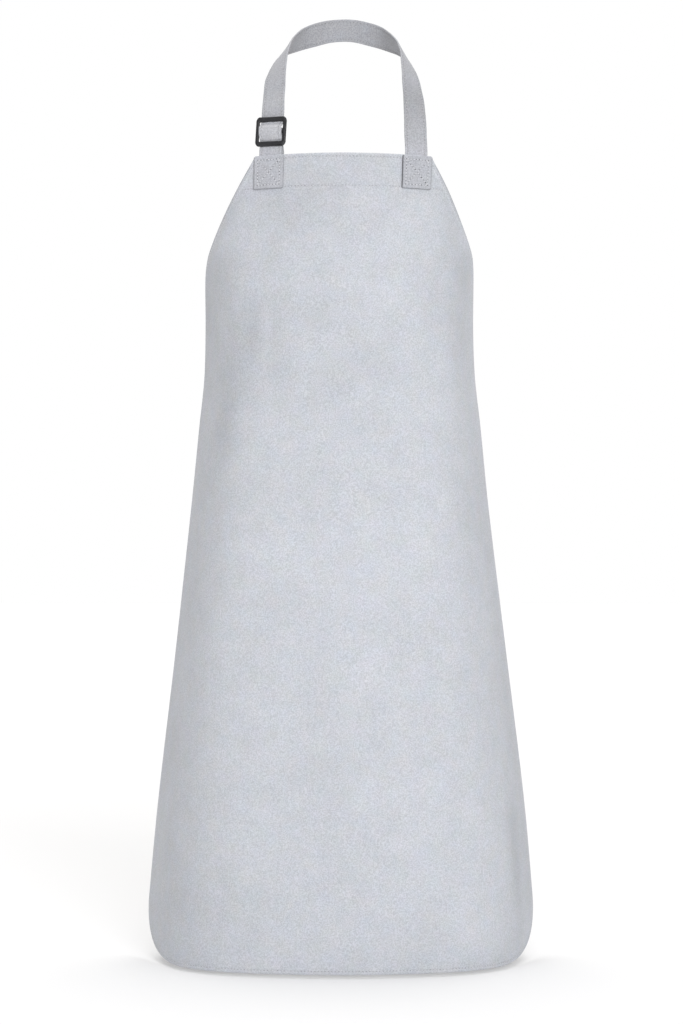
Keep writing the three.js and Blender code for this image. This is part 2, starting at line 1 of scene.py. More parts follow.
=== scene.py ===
"""Looks of a grey split-leather work apron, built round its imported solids.

Each leather piece is modelled flat, as it is cut, in pattern space: x across, y into the
leather from its front face, z down from the top edge (negative). It is then bent into the
worn shape. The strap and the tab are modelled flat too and bent along the strap's route.
"""

import math

import bmesh
import bpy
import numpy as np
from mathutils import Matrix, Vector


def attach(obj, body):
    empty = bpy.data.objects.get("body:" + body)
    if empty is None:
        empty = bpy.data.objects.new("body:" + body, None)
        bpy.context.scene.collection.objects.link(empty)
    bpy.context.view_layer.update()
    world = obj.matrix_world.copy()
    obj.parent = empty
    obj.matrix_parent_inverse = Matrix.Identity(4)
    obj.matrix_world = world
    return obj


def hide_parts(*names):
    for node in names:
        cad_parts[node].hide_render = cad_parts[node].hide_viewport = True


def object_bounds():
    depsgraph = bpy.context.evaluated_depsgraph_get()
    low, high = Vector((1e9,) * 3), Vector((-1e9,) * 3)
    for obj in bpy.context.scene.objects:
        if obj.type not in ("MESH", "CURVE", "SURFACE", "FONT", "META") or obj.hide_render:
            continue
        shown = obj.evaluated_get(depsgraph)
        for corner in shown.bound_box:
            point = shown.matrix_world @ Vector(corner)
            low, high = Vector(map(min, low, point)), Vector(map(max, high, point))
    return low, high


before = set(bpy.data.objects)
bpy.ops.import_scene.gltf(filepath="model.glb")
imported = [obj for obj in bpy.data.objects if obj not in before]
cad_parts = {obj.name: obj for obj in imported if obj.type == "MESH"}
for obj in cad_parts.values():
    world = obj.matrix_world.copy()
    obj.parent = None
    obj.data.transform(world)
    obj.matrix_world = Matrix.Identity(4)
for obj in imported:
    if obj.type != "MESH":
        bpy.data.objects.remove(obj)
cad_low, cad_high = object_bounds()

MM = 0.001

# Leather
WALL = 1.5 * MM
STRAP_THICKNESS = 1.8 * MM
TAB_THICKNESS = 1.2 * MM
PATCH_THICKNESS = 1.4 * MM
LOOSE_GAP = 0.5 * MM

# Panel
BIB_HEIGHT = 138 * MM
SKIRT_LENGTH = 776 * MM
PANEL_LENGTH = BIB_HEIGHT + SKIRT_LENGTH
BIB_HALF_WIDTH = 99 * MM
CHEST_HALF_WIDTH = 154.5 * MM
HEM_HALF_WIDTH = 230 * MM
BIB_WRAP = 17 * MM
CHEST_WRAP = 112 * MM
HEM_WRAP = 165 * MM
TURN_WIDTH = 8 * MM
TOP_TURN = 40 * MM
TOP_LEAD = 26 * MM
CORNER_WIDTH = 124 * MM
CORNER_HEIGHT = 66 * MM
ARMHOLE_END = 0.84
ARMHOLE_FADE = 0.1
HEM_STITCH_START = 0.75
TOP_ARCH = 2.5 * MM
FRONT_SWELL = 16 * MM
SWAY = 6 * MM
DENT_DEPTH = 6 * MM
SIDE_POWER = 7
NECK_RISE = 163 * MM
NECK_REACH = 155 * MM

# Patches, strap ends and slide
PATCH_WIDTH = 35 * MM
PATCH_HEIGHT = 38 * MM
PATCH_SETBACK = 0.8 * MM
PATCH_OVERHANG = 0.6 * MM
PATCH_GAP = 0.1 * MM
PATCH_CORNER = 1.6 * MM
# Width of the painted shadow along the patches' rims
RIM_SHADOW_WIDTH = 1.5 * MM
STRAP_WIDTH = 26 * MM
STRAP_END = 34 * MM
END_GAP = 1 * MM
TAB_ASIDE = 1.8 * MM
SLIDE_RISE = 27.2 * MM
SLIDE_BAR = 5.4 * MM
SLIDE_SIDE_BAR = 4 * MM
SLIDE_CENTRE_BAR = 3.6 * MM
SLIDE_HEIGHT = 34.4 * MM
SLIDE_THICKNESS = 3.2 * MM
SLIDE_EDGE = 0.8 * MM
SLIDE_CORNER = 5.5 * MM
SLIDE_RIM = 1.15 * MM
WINDOW_CORNER = 1.6 * MM
SLIDE_SIDE_GAP = 0.7 * MM
STRAIGHT_LENGTH = 58 * MM
LEAN_BACK = 12.5
LEAN_IN = 3

# Stitching
SEAM_INSET = 4.2 * MM
TOP_SEAM = 37 * MM
TOP_SEAM_END = 7 * MM
STRAP_SEAM_INSET = 3 * MM
PATCH_SEAM_INSET = 4.6 * MM
STITCH_PITCH = 3.8 * MM
STITCH_LENGTH = 2.7 * MM
STITCH_WIDTH = 0.85 * MM
STITCH_RISE = 0.3 * MM
THREAD_CLEAR = 0.02 * MM
HOLE_RADIUS = 0.5 * MM
SMALL_HOLE = 0.36 * MM
HOLE_CLEAR = 0.07 * MM
HOLE_SIDES = 7
GROOVE_DEPTH = 0.2 * MM

# Sections of the panel, as in the solids: shares of the named sizes at each height
BIB_SECTIONS = [
    dict(drop=0, spread=0, deepen=0, turn=0.05, swell=0, sway=0),
    dict(drop=0.26, spread=0.368, deepen=0.19, turn=0.25, swell=0.22, sway=-0.2),
    dict(drop=0.51, spread=0.672, deepen=0.46, turn=0.45, swell=0.42, sway=-0.5),
    dict(drop=0.755, spread=0.925, deepen=0.76, turn=0.58, swell=0.58, sway=-0.75),
    dict(drop=0.88, spread=0.985, deepen=0.91, turn=0.62, swell=0.66, sway=-0.9),
    dict(drop=1, spread=1, deepen=1, turn=0.64, swell=0.72, sway=-1),
]
SKIRT_SECTIONS = [
    dict(drop=0.07, spread=-0.004, deepen=0.05, turn=0.65, swell=0.8, sway=-1.05),
    dict(drop=0.14, spread=0.02, deepen=0.1, turn=0.65, swell=0.88, sway=-1),
    dict(drop=0.21, spread=0.1, deepen=0.17, turn=0.65, swell=0.94, sway=-0.95),
    dict(drop=0.33, spread=0.228, deepen=0.3, turn=0.65, swell=1, sway=-0.9),
    dict(drop=0.55, spread=0.5, deepen=0.56, turn=0.65, swell=1, sway=-0.65),
    dict(drop=0.78, spread=0.79, deepen=0.8, turn=0.66, swell=0.9, sway=-0.5),
    dict(drop=1, spread=1, deepen=1, turn=0.66, swell=0.78, sway=-0.5),
]
SIDE_LEAN = [
    dict(drop=0, left=0),
    dict(drop=0.2, left=0.08),
    dict(drop=0.5, left=0.05),
    dict(drop=1, left=0),
]

# Soft dents and ridges of the hide. across is a share of the half width, drop and high are
# shares of the panel's length, wide is a share of the hem's half width.
DENTS = [
    dict(across=-0.6, drop=0.22, wide=0.09, high=0.12, depth=1),
    dict(across=-0.36, drop=0.2, wide=0.1, high=0.13, depth=-0.45),
    dict(across=0.66, drop=0.2, wide=0.08, high=0.12, depth=0.6),
    dict(across=0.1, drop=0.13, wide=0.22, high=0.05, depth=0.45),
    dict(across=-0.28, drop=0.62, wide=0.16, high=0.24, depth=0.55),
    dict(across=0.36, drop=0.72, wide=0.14, high=0.22, depth=0.5),
    dict(across=0.04, drop=0.8, wide=0.12, high=0.2, depth=-0.5),
]

# Painted light and shade on the hide: spots made lighter or darker, standing in for the shading of
# its dents and folds and of the light across it. Places and sizes as for the dents
HIDE_SHADE_SPOTS = [
    dict(across=-0.45, drop=0.215, wide=0.05, high=0.045, shade=-0.11),
    dict(across=-0.52, drop=0.25, wide=0.09, high=0.08, shade=-0.12),
    dict(across=-0.63, drop=0.33, wide=0.09, high=0.06, shade=-0.09),
    dict(across=0.76, drop=0.18, wide=0.12, high=0.09, shade=-0.06),
    dict(across=-0.32, drop=0.065, wide=0.32, high=0.06, shade=-0.1),
    dict(across=-0.82, drop=0.115, wide=0.13, high=0.05, shade=0.09),
    dict(across=-0.04, drop=0.265, wide=0.25, high=0.06, shade=-0.05),
    dict(across=-0.36, drop=0.22, wide=0.04, high=0.05, shade=0.045),
    dict(across=-0.44, drop=0.31, wide=0.04, high=0.05, shade=-0.04),
    dict(across=-0.1, drop=0.175, wide=0.12, high=0.04, shade=-0.05),
    dict(across=0.53, drop=0.165, wide=0.06, high=0.03, shade=-0.05),
    dict(across=-0.48, drop=0.54, wide=0.22, high=0.08, shade=0.04),
    dict(across=-0.18, drop=0.6, wide=0.09, high=0.03, shade=0.05),
    dict(across=0.1, drop=0.03, wide=0.7, high=0.05, shade=-0.04),
    dict(across=0.95, drop=0.04, wide=0.1, high=0.03, shade=-0.06),
    dict(across=0.93, drop=0.8, wide=0.15, high=0.2, shade=-0.12),
    dict(across=0.9, drop=0.5, wide=0.12, high=0.2, shade=-0.05),
    dict(across=0.79, drop=0.87, wide=0.08, high=0.07, shade=-0.15),
    dict(across=-0.95, drop=0.76, wide=0.14, high=0.16, shade=-0.03),
    dict(across=-0.42, drop=0.93, wide=0.4, high=0.08, shade=-0.06),
    dict(across=-0.28, drop=0.74, wide=0.25, high=0.1, shade=-0.025),
    dict(across=0.2, drop=0.72, wide=0.2, high=0.05, shade=-0.03),
    dict(across=0.3, drop=1, wide=0.9, high=0.04, shade=-0.04),
]

# Painted light and shade along the strap, standing in for its shading where it bends and turns, as
# shares of its length from the right of the bib
STRAP_SHADE_SPOTS = [
    dict(along=0.056, wide=0.016, shade=0.2),
    dict(along=0.08, wide=0.03, shade=0.06),
    dict(along=0.17, wide=0.05, shade=-0.13),
    dict(along=0.325, wide=0.03, shade=0.12),
    dict(along=0.4, wide=0.04, shade=0.05),
    dict(along=0.68, wide=0.03, shade=0.07),
    dict(along=0.79, wide=0.04, shade=-0.03),
]

# Painted light and shade: how much lighter or darker the leather is made in places, as shares of
# its shade
HIDDEN_SHADING_SHARE = 0.3
# A painted highlight along the armholes' stitching and painted shade at their very edge
BAND_HIGHLIGHT = 0.15
BAND_INSET = 5 * MM
BAND_WIDTH = 1.8 * MM
EDGE_SHADE = 0.45
EDGE_WIDTH = 2.6 * MM
# Painted light on the strap in and near the slide, where its bars and bend shade it
WINDOW_PAINTED_LIGHT = 0.15
BEND_PAINTED_LIGHT = 0.32
BAR_SHADOW_FILL = 0.3
BELOW_SLIDE_LIGHT = 0.24

# Strap routes from the bib to the nape, as in the solids
RIGHT_ROUTE = [
    dict(across=0.992, back=0.05, up=0.18, facing=15, lean=0),
    dict(across=0.98, back=0.125, up=0.35, facing=22, lean=0),
    dict(across=0.95, back=0.24, up=0.515, facing=32, lean=3),
    dict(across=0.91, back=0.38, up=0.66, facing=47, lean=10),
    dict(across=0.848, back=0.57, up=0.778, facing=70, lean=19),
    dict(across=0.728, back=0.77, up=0.864, facing=100, lean=23),
    dict(across=0.56, back=0.92, up=0.929, facing=132, lean=17),
    dict(across=0.37, back=0.98, up=0.97, facing=156, lean=8),
    dict(across=0.19, back=0.995, up=0.992, facing=170, lean=3),
]
LEFT_ROUTE = [
    dict(across=0.955, back=0.17, up=0.45, facing=19, lean=0),
    dict(across=0.938, back=0.25, up=0.57, facing=26, lean=3),
    dict(across=0.907, back=0.37, up=0.665, facing=36, lean=10),
    dict(across=0.848, back=0.56, up=0.775, facing=56, lean=20),
    dict(across=0.735, back=0.76, up=0.862, facing=92, lean=25),
    dict(across=0.565, back=0.915, up=0.927, facing=128, lean=18),
    dict(across=0.37, back=0.98, up=0.969, facing=155, lean=8),
    dict(across=0.19, back=0.995, up=0.991, facing=170, lean=3),
]

# Fineness
PANEL_COLUMNS = 120
ARC_STEPS = 60
OVERRUN = 0.2

# Colours, linear
SUEDE_COLOUR = (0.445, 0.458, 0.486)
PATCH_COLOUR = (0.371, 0.378, 0.402)
STRAP_COLOUR = (0.331, 0.334, 0.351)
PATCH_THREAD_COLOUR = (0.62, 0.625, 0.64)
STRAP_THREAD_COLOUR = (0.41, 0.41, 0.42)
PANEL_THREAD_COLOUR = (0.5, 0.507, 0.525)
# Painted shade: the dark inside of the needle holes
PATCH_HOLE_SHADE_COLOUR = (0.09, 0.09, 0.095)
HOLE_SHADE_COLOUR = (0.17, 0.17, 0.175)
PLASTIC_COLOUR = (0.012, 0.012, 0.014)

# Studio. height is how many degrees a lamp stands above the level, aside is its turn from
# the front to the viewer's right, softness is how wide it looks in degrees.
CAMERA_PLACE = (-0.002, -3.162, -0.5635)
CAMERA_LENS = 95
FLOOR_REACH = 12
FLOOR_GAP = 4 * MM
FLOOR_COLOUR = (0.8, 0.8, 0.8, 1)
ROOM_LIGHT = 0.365
ROOM_COLOUR = (1, 0.97, 0.94, 1)
LAMPS = [
    dict(name="key", power=2.41, height=16, aside=9, softness=40, colour=(0.975, 0.992, 1.03)),
    dict(name="top", power=2.3, height=95, aside=0, softness=54, colour=(1, 1, 1)),
]

rng = np.random.default_rng(41)


def ease(share):
    share = np.clip(share, 0, 1)
    return share * share * (3 - 2 * share)


def mix(a, b, share):
    return a + (b - a) * share


def bell(away, width):
    """1 where away is 0, falling softly to 0 over a few widths."""
    return np.exp(-((away / width) ** 2))


def between(s, start, leaving, stop, arriving):
    """Smooth value between two ends, for s from 0 to 1, with the slope at each end."""
    s2, s3 = s * s, s * s * s
    return (
        (2 * s3 - 3 * s2 + 1) * start
        + (s3 - 2 * s2 + s) * leaving
        + (3 * s2 - 2 * s3) * stop
        + (s3 - s2) * arriving
    )


def column(rows, name, drop):
    """Smooth value of one named column of a table of rows at each drop."""
    drops = np.array([row["drop"] for row in rows], float)
    values = np.array([row[name] for row in rows], float)
    slopes = np.empty_like(values)
    slopes[1:-1] = (values[2:] - values[:-2]) / (drops[2:] - drops[:-2])
    slopes[0] = (values[1] - values[0]) / (drops[1] - drops[0])
    slopes[-1] = (values[-1] - values[-2]) / (drops[-1] - drops[-2])
    i = np.clip(np.searchsorted(drops, drop, side="right") - 1, 0, len(rows) - 2)
    span = drops[i + 1] - drops[i]
    s = np.clip((drop - drops[i]) / span, 0, 1)
    return between(s, values[i], span * slopes[i], values[i + 1], span * slopes[i + 1])


def unit(vectors):
    return vectors / np.linalg.norm(vectors, axis=1)[:, None]


def running_length(points):
    """Distance of each point of a line from its start."""
    steps = np.linalg.norm(np.diff(points, axis=0), axis=1)
    return np.concatenate([[0], np.cumsum(steps)])


def line_at(distance, lengths, values):
    """Values at distances along a line, given at the running lengths of its points."""
    columns = [np.interp(distance, lengths, values[:, k]) for k in range(values.shape[1])]
    return np.stack(columns, axis=1)


def section_rows(rows, start, height, near_half, far_half, near_wrap, far_wrap):
    return [
        dict(
            drop=start + row["drop"] * height,
            half=mix(near_half, far_half, row["spread"]),
            wrap=mix(near_wrap, far_wrap, row["deepen"]),
            turn=row["turn"],
            swell=row["swell"] * FRONT_SWELL,
            sway=row["sway"] * SWAY,
        )
        for row in rows
    ]


SECTIONS = section_rows(
    BIB_SECTIONS, 0, BIB_HEIGHT, BIB_HALF_WIDTH, CHEST_HALF_WIDTH, BIB_WRAP, CHEST_WRAP
) + section_rows(
    SKIRT_SECTIONS, BIB_HEIGHT, SKIRT_LENGTH, CHEST_HALF_WIDTH, HEM_HALF_WIDTH, CHEST_WRAP, HEM_WRAP
)


def section_at(drop, side):
    """The panel's cross-section at each drop: side is -1 on the left and 1 on the right."""
    names = ("half", "wrap", "turn", "swell", "sway")
    section = {name: column(SECTIONS, name, drop) for name in names}
    section["wrap"] = section["wrap"] * (1 - side * column(SIDE_LEAN, "left", drop / PANEL_LENGTH))
    return section


def setback(section, u):
    gentle = (1 - section["turn"]) * u * u
    turned = section["turn"] * np.abs(u) ** SIDE_POWER
    return section["wrap"] * (gentle + turned)


def arc_lengths(section, reach):
    """Lengths along the leather from the middle to each of the steps up to a share reach."""
    steps = np.linspace(0, reach, ARC_STEPS + 1)[None, :]
    wide = {name: values[:, None] for name, values in section.items()}
    rise = np.diff(setback(wide, steps), axis=1)
    pieces = np.hypot(wide["half"] * reach / ARC_STEPS, rise)
    return np.concatenate([np.zeros((len(pieces), 1)), np.cumsum(pieces, axis=1)], axis=1)


def share_along(section, along):
    """Share of the half width that lies a distance along the leather from the middle."""
    reach = 1 + OVERRUN
    lengths = arc_lengths(section, reach)
    i = np.clip((lengths <= along[:, None]).sum(axis=1) - 1, 0, ARC_STEPS - 1)
    rows = np.arange(len(along))
    start, stop = lengths[rows, i], lengths[rows, i + 1]
    return (i + (along - start) / (stop - start)) * reach / ARC_STEPS


def flat_half_width(drop):
    drop = np.atleast_1d(np.asarray(drop, float))
    sides = [arc_lengths(section_at(drop, side), 1)[:, -1] for side in (-1, 1)]
    return (sides[0] + sides[1]) / 2


def soft_spots(rows, name, x, half, drop):
    """Sum of a table of soft round spots on the hide: one named strength at each point."""
    total = np.zeros_like(x)
    for row in rows:
        dx = (x - row["across"] * half) / (row["wide"] * HEM_HALF_WIDTH)
        dz = (drop / PANEL_LENGTH - row["drop"]) / row["high"]
        total += row[name] * np.exp(-dx * dx - dz * dz)
    return total


def front_point(flat, drop):
    """Points of the worn front face: flat is the distance along the leather from the middle."""
    side = np.where(flat < 0, -1.0, 1.0)
    section = section_at(drop, side)
    u = share_along(section, np.abs(flat))
    x = section["sway"] + side * section["half"] * u
    arch = TOP_ARCH * u * u * (1 - ease(drop / BIB_HEIGHT))
    dents = DENT_DEPTH * soft_spots(DENTS, "depth", x, section["half"], drop)
    y = -NECK_REACH - section["swell"] + setback(section, u) + dents
    return np.stack([x, y, -NECK_RISE - drop - arch], axis=1)


def worn(flat, drop, depth):
    """Points a given depth behind the worn front face."""
    high = np.maximum(drop - MM, 0)
    across = front_point(flat + MM, drop) - front_point(flat - MM, drop)
    down = front_point(flat, high + 2 * MM) - front_point(flat, high)
    return front_point(flat, drop) - unit(np.cross(down, across)) * depth[:, None]


def side_slope(drop):
    """How fast the cut leather widens at each drop."""
    high = np.maximum(drop - MM, 0)
    return (flat_half_width(drop + MM) - flat_half_width(high)) / (drop + MM - high)


def outline_point(row, inset):
    """Flat point of the right-hand outline at each row, moved inwards by an inset. Inset rows
    start level with the inset top edge and are square to the side from TOP_LEAD down."""
    row = np.asarray(row, float)
    above = PANEL_LENGTH - CORNER_HEIGHT
    inside = np.clip(row, 0, above)
    slope = side_slope(inside)
    size = np.hypot(1, slope)
    lead = ease(inside / TOP_LEAD)
    drop = inside + mix(inset, inset * slope / size, lead)
    under_top = flat_half_width(drop) - inset * np.hypot(1, side_slope(drop))
    flat = np.where(lead < 1, under_top, flat_half_width(inside) - inset / size)
    angle = np.arcsin(np.clip((row - above) / CORNER_HEIGHT, 0, 1))
    out = CORNER_HEIGHT * np.cos(angle)
    down = CORNER_WIDTH * np.sin(angle)
    size = np.hypot(out, down)
    corner = row > above
    corner_flat = flat_half_width(row) - CORNER_WIDTH * (1 - np.cos(angle)) - inset * out / size
    corner_drop = above + CORNER_HEIGHT * np.sin(angle) - inset * down / size
    return np.where(corner, corner_flat, flat), np.where(corner, corner_drop, drop)


def positions(bm):
    return np.array([v.co for v in bm.verts], float).reshape(-1, 3)


def place(bm, points):
    for v, point in zip(bm.verts, points):
        v.co = point


def store(bm, name, values):
    """Keeps a value at each vertex in a named layer, where the materials can read it."""
    layers = bm.verts.layers.float
    layer = layers.get(name) or layers.new(name)
    for v, value in zip(bm.verts, values):
        v[layer] = value


def verts_of(geom):
    return [g for g in geom if isinstance(g, bmesh.types.BMVert)]


def add_back(bm):
    """Gives a flat piece sides and a back, still lying in its front: the back's vertices."""
    return verts_of(bmesh.ops.extrude_face_region(bm, geom=list(bm.faces))["geom"])


def keep_pattern_map(bm):
    """UV map in metres of flat leather, taken before the piece is bent."""
    uv = bm.loops.layers.uv.new("pattern")
    for face in bm.faces:
        for loop in face.loops:
            co = loop.vert.co
            loop[uv].uv = (co.x, co.z)


def wear(bm):
    """Bends a piece from pattern space on to the body."""
    keep_pattern_map(bm)
    flat = positions(bm)
    place(bm, worn(flat[:, 0], -flat[:, 2], flat[:, 1]))


def finish_piece(bm, name, materials, replaces=()):
    """Makes the object, lets it ride with the root body and hides the solids that it stands for."""
    mesh = bpy.data.meshes.new(name)
    bm.to_mesh(mesh)
    bm.free()
    for material in materials:
        mesh.materials.append(material)
    for polygon in mesh.polygons:
        polygon.use_smooth = True
    piece = bpy.data.objects.new(name, mesh)
    bpy.context.scene.collection.objects.link(piece)
    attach(piece, "root")
    if replaces:
        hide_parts(*replaces)
    return piece


# Panel


def panel_rows():
    """Rows of the panel, close together at the stitched line and where the turned top ends."""
    rise = float(outline_point(np.array([TOP_TURN]), np.array([TURN_WIDTH]))[1][0]) - TOP_TURN
    sewn, cut = TOP_SEAM - rise, TOP_TURN - rise
    corner_top = PANEL_LENGTH - CORNER_HEIGHT
    rows = list(np.linspace(0, sewn - 2.4 * MM, 11))
    rows += [sewn + step * MM for step in (-1.4, -0.7, 0, 0.7, 1.4)]
    rows += [cut + step * MM for step in (-0.3, 0.1, 0.5, 1.6)]
    rows += list(np.linspace(cut + 4 * MM, BIB_HEIGHT, 26))
    rows += list(np.linspace(BIB_HEIGHT, corner_top, 132)[1:])
    angles = np.linspace(0, math.pi / 2, 19)[1:]
    rows += list(corner_top + CORNER_HEIGHT * np.sin(angles))
    return np.array(rows)


# Rings of the turned edge, from the front face round the fold to the cut edge behind: inset
# from the outline and depth behind the front face in millimetres, seam where it is sewn
EDGE_RINGS = [
    dict(inset=6.8, depth=0),
    dict(inset=5.5, depth=0.01, seam=0.2),
    dict(inset=4.7, depth=0.1, seam=0.7),
    dict(inset=4.2, depth=0.16, seam=1),
    dict(inset=3.7, depth=0.1, seam=0.7),
    dict(inset=2.9, depth=-0.02, seam=0.2),
    dict(inset=1.7, depth=-0.04),
    dict(inset=0.75, depth=0.2),
    dict(inset=0.2, depth=0.75),
    dict(inset=0, depth=1.5),
    dict(inset=0.2, depth=2.25),
    dict(inset=0.75, depth=2.8),
    dict(inset=1.9, depth=3.08),
    dict(inset=3.5, depth=2.95, seam=0.5),
    dict(inset=4.2, depth=2.8, seam=1),
    dict(inset=4.9, depth=2.95, seam=0.5),
    dict(inset=7.4, depth=3),
    dict(inset=7.9, depth=2.8),
    dict(inset=8, depth=1.6),
]


def armhole_share(drop):
    """1 along the armholes, 0 below them."""
    return 1 - ease((drop / BIB_HEIGHT - ARMHOLE_END) / ARMHOLE_FADE)


def stitched_edge(drop):
    """1 where the edge is stitched: the top, the armholes and the hem, 0 at the plain sides."""
    hem_start = PANEL_LENGTH - CORNER_HEIGHT * HEM_STITCH_START
    return np.maximum(armhole_share(drop), ease((drop - hem_start) / (CORNER_HEIGHT * 0.2)))


def armhole_shading(inset, drop):
    """Painted shade as a dark line at the armholes' very edge, and a painted highlight as a paler
    band along their stitching.
    """
    band = BAND_HIGHLIGHT * bell(inset - BAND_INSET, BAND_WIDTH)
    dark = EDGE_SHADE * np.clip(1 - inset / EDGE_WIDTH, 0, 1)
    return (band - dark) * ease(drop / TURN_WIDTH - 1) * armhole_share(drop)


def panel_shell(bm):
    """The hide's front, back and turned edge, not yet in place. Each vertex keeps its share
    of the width, its row, inset, depth and seam. Gives those layers and the back's vertices."""
    rows = panel_rows()
    bmesh.ops.create_grid(bm, x_segments=PANEL_COLUMNS, y_segments=len(rows) - 1, size=1)
    names = ("share", "row", "inset", "depth", "seam")
    at = {name: bm.verts.layers.float.new(name) for name in names}
    steps = np.linspace(-1, 1, len(rows))
    for v in bm.verts:
        v[at["share"]] = v.co.x
        v[at["row"]] = np.interp(-v.co.y, steps, rows)
        v[at["inset"]] = TURN_WIDTH
    front = list(bm.faces)

    # The back face is a copy of the front one, turned over
    back = bmesh.ops.duplicate(bm, geom=front)["geom"]
    bmesh.ops.reverse_faces(bm, faces=[g for g in back if isinstance(g, bmesh.types.BMFace)])
    back_rim = [g for g in back if isinstance(g, bmesh.types.BMEdge) and g.is_boundary]
    back_verts = verts_of(back)
    for v in back_verts:
        v[at["depth"]] = WALL

    # The edge is pulled out, round the fold and in again behind, ring by ring
    rim = [e for f in front for e in f.edges if e.is_boundary]
    for ring in EDGE_RINGS:
        pulled = bmesh.ops.extrude_edge_only(bm, edges=rim)["geom"]
        rim = [g for g in pulled if isinstance(g, bmesh.types.BMEdge)]
        for v in {v for e in rim for v in e.verts}:
            v[at["inset"]] = ring["inset"] * MM
            v[at["depth"]] = ring["depth"] * MM
            v[at["seam"]] = ring.get("seam", 0)
    bmesh.ops.bridge_loops(bm, edges=rim + back_rim)
    return at, back_verts


def build_panel(materials):
    bm = bmesh.new()
    at, back_verts = panel_shell(bm)
    share, row, inset, depth, seam = (
        np.array([v[layer] for v in bm.verts]) for layer in at.values()
    )
    bm.verts.index_update()
    is_back = np.zeros(len(share), bool)
    is_back[[v.index for v in back_verts]] = True
    behind = depth > 1.2 * WALL
    hidden = behind | is_back
    field = inset >= TURN_WIDTH - 1e-6
    edge, drop = outline_point(row, inset)
    flat = edge * share

    # Only the stitched stretches of the edge are pressed in
    stitched = stitched_edge(drop)
    plain = np.where(behind, 2 * WALL, 0)
    depth = np.where(seam > 0, mix(plain, depth, stitched), depth)

    # The turned top: twice the leather behind, and a stitched line near its cut edge
    turned = (drop < TOP_TURN) & (row < TOP_TURN)
    cut_edge = (inset > TURN_WIDTH - 0.2 * MM) & (depth > WALL + 0.05 * MM)
    depth = np.where((is_back | cut_edge) & turned, 2 * WALL, depth)
    near = bell(drop - TOP_SEAM, 0.9 * MM) * field
    depth = depth + near * GROOVE_DEPTH * np.where(is_back, -1.0 * turned, 0.8)
    # Painted light and shade: the hide's spots, kept faint on the back, and the armholes' lines
    hide_shading = soft_spots(HIDE_SHADE_SPOTS, "shade", flat, flat_half_width(drop), drop)
    hide_shading = hide_shading * np.where(hidden, HIDDEN_SHADING_SHARE, 1) + armhole_shading(inset, drop) * ~hidden
    # Where the stitched grooves get painted shade
    store(bm, "seam", np.maximum(seam * stitched, near))
    store(bm, "painted_shading", hide_shading)
    place(bm, np.stack([flat, depth, -drop], axis=1))
    bmesh.ops.recalc_face_normals(bm, faces=bm.faces)
    wear(bm)
    return finish_piece(bm, "apron_hide", materials, ["apron_panel"])


# Stitches


def along_line(points, pitch):
    """Points a pitch apart along a line of flat points, with the direction at each."""
    points = np.asarray(points, float)
    lengths = running_length(points)
    count = max(int(round(lengths[-1] / pitch)), 1)
    stops = (np.arange(count) + 0.5) * lengths[-1] / count
    here = line_at(stops, lengths, points)
    ahead = line_at(stops + pitch / 4, lengths, points) - here
    return list(zip(*here.T, np.arctan2(ahead[:, 1], ahead[:, 0])))


def sew(bm, line, depth, outward=-1, hole=HOLE_RADIUS):
    """Adds thread and then needle holes of about a radius along a line in pattern space, at a
    depth, each hole a flat dark disc of painted shade. outward is -1 on the front face and 1 on the
    back."""
    stops = along_line(line, STITCH_PITCH)
    for x, z, angle in stops:
        turn = Matrix.Rotation(-angle + rng.normal(0, 0.08), 4, "Y")
        at = Matrix.Translation((x, depth + outward * THREAD_CLEAR, z))
        long = STITCH_LENGTH / 2 * rng.uniform(0.88, 1.08)
        high = STITCH_RISE * rng.uniform(0.8, 1.1)
        wide = STITCH_WIDTH / 2 * rng.uniform(0.9, 1.15)
        size = Matrix.Diagonal((long, high, wide, 1))
        bmesh.ops.create_icosphere(bm, subdivisions=1, radius=1, matrix=at @ turn @ size)
    thread_faces = len(bm.faces)
    face_out = Matrix.Rotation(math.pi / 2 * (-outward), 4, "X")
    # Each hole is a flat disc painted dark: painted shade
    for x, z, angle in stops:
        x += math.cos(angle) * STITCH_PITCH / 2
        z += math.sin(angle) * STITCH_PITCH / 2
        at = Matrix.Translation((x, depth + outward * HOLE_CLEAR, z))
        radius = hole * rng.uniform(0.55, 1.15)
        bmesh.ops.create_circle(
            bm, cap_ends=True, segments=HOLE_SIDES, radius=radius, matrix=at @ face_out
        )
    bm.faces.ensure_lookup_table()
    for face in bm.faces[thread_faces:]:
        face.material_index = 1


def outline_line(start, stop):
    """The stitched line along the right of the outline, from one row to another."""
    rows = np.linspace(start, stop, 120)
    flat, drop = outline_point(rows, SEAM_INSET)
    return list(zip(flat, -drop))


def mirrored(line):
    return [(-x, z) for x, z in line]


def build_panel_seams(materials):
    bm = bmesh.new()
    edge = float(outline_point(np.zeros(1), SEAM_INSET)[0][0])
    armhole = outline_line(0.5 * MM, BIB_HEIGHT * 0.9)
    hem = outline_line(PANEL_LENGTH - CORNER_HEIGHT * 0.62, PANEL_LENGTH)
    wide = float(flat_half_width(TOP_SEAM)[0]) - TOP_SEAM_END
    lines = [
        [(-edge, -SEAM_INSET), (edge, -SEAM_INSET)],
        mirrored(armhole),
        armhole,
        mirrored(hem) + hem[::-1],
        [(-wide, -TOP_SEAM), (wide, -TOP_SEAM)],
    ]
    for line in lines:
        sew(bm, line, GROOVE_DEPTH * 0.75, hole=SMALL_HOLE)
        sew(bm, line, 2 * WALL - GROOVE_DEPTH * 0.6, 1, SMALL_HOLE)
    wear(bm)
    return finish_piece(bm, "panel_seams", materials)


# Patches


def patch_frame(side):
    outer = float(flat_half_width(0)[0]) + PATCH_OVERHANG
    return side * (outer - PATCH_WIDTH / 2), -(PATCH_SETBACK + PATCH_HEIGHT / 2)


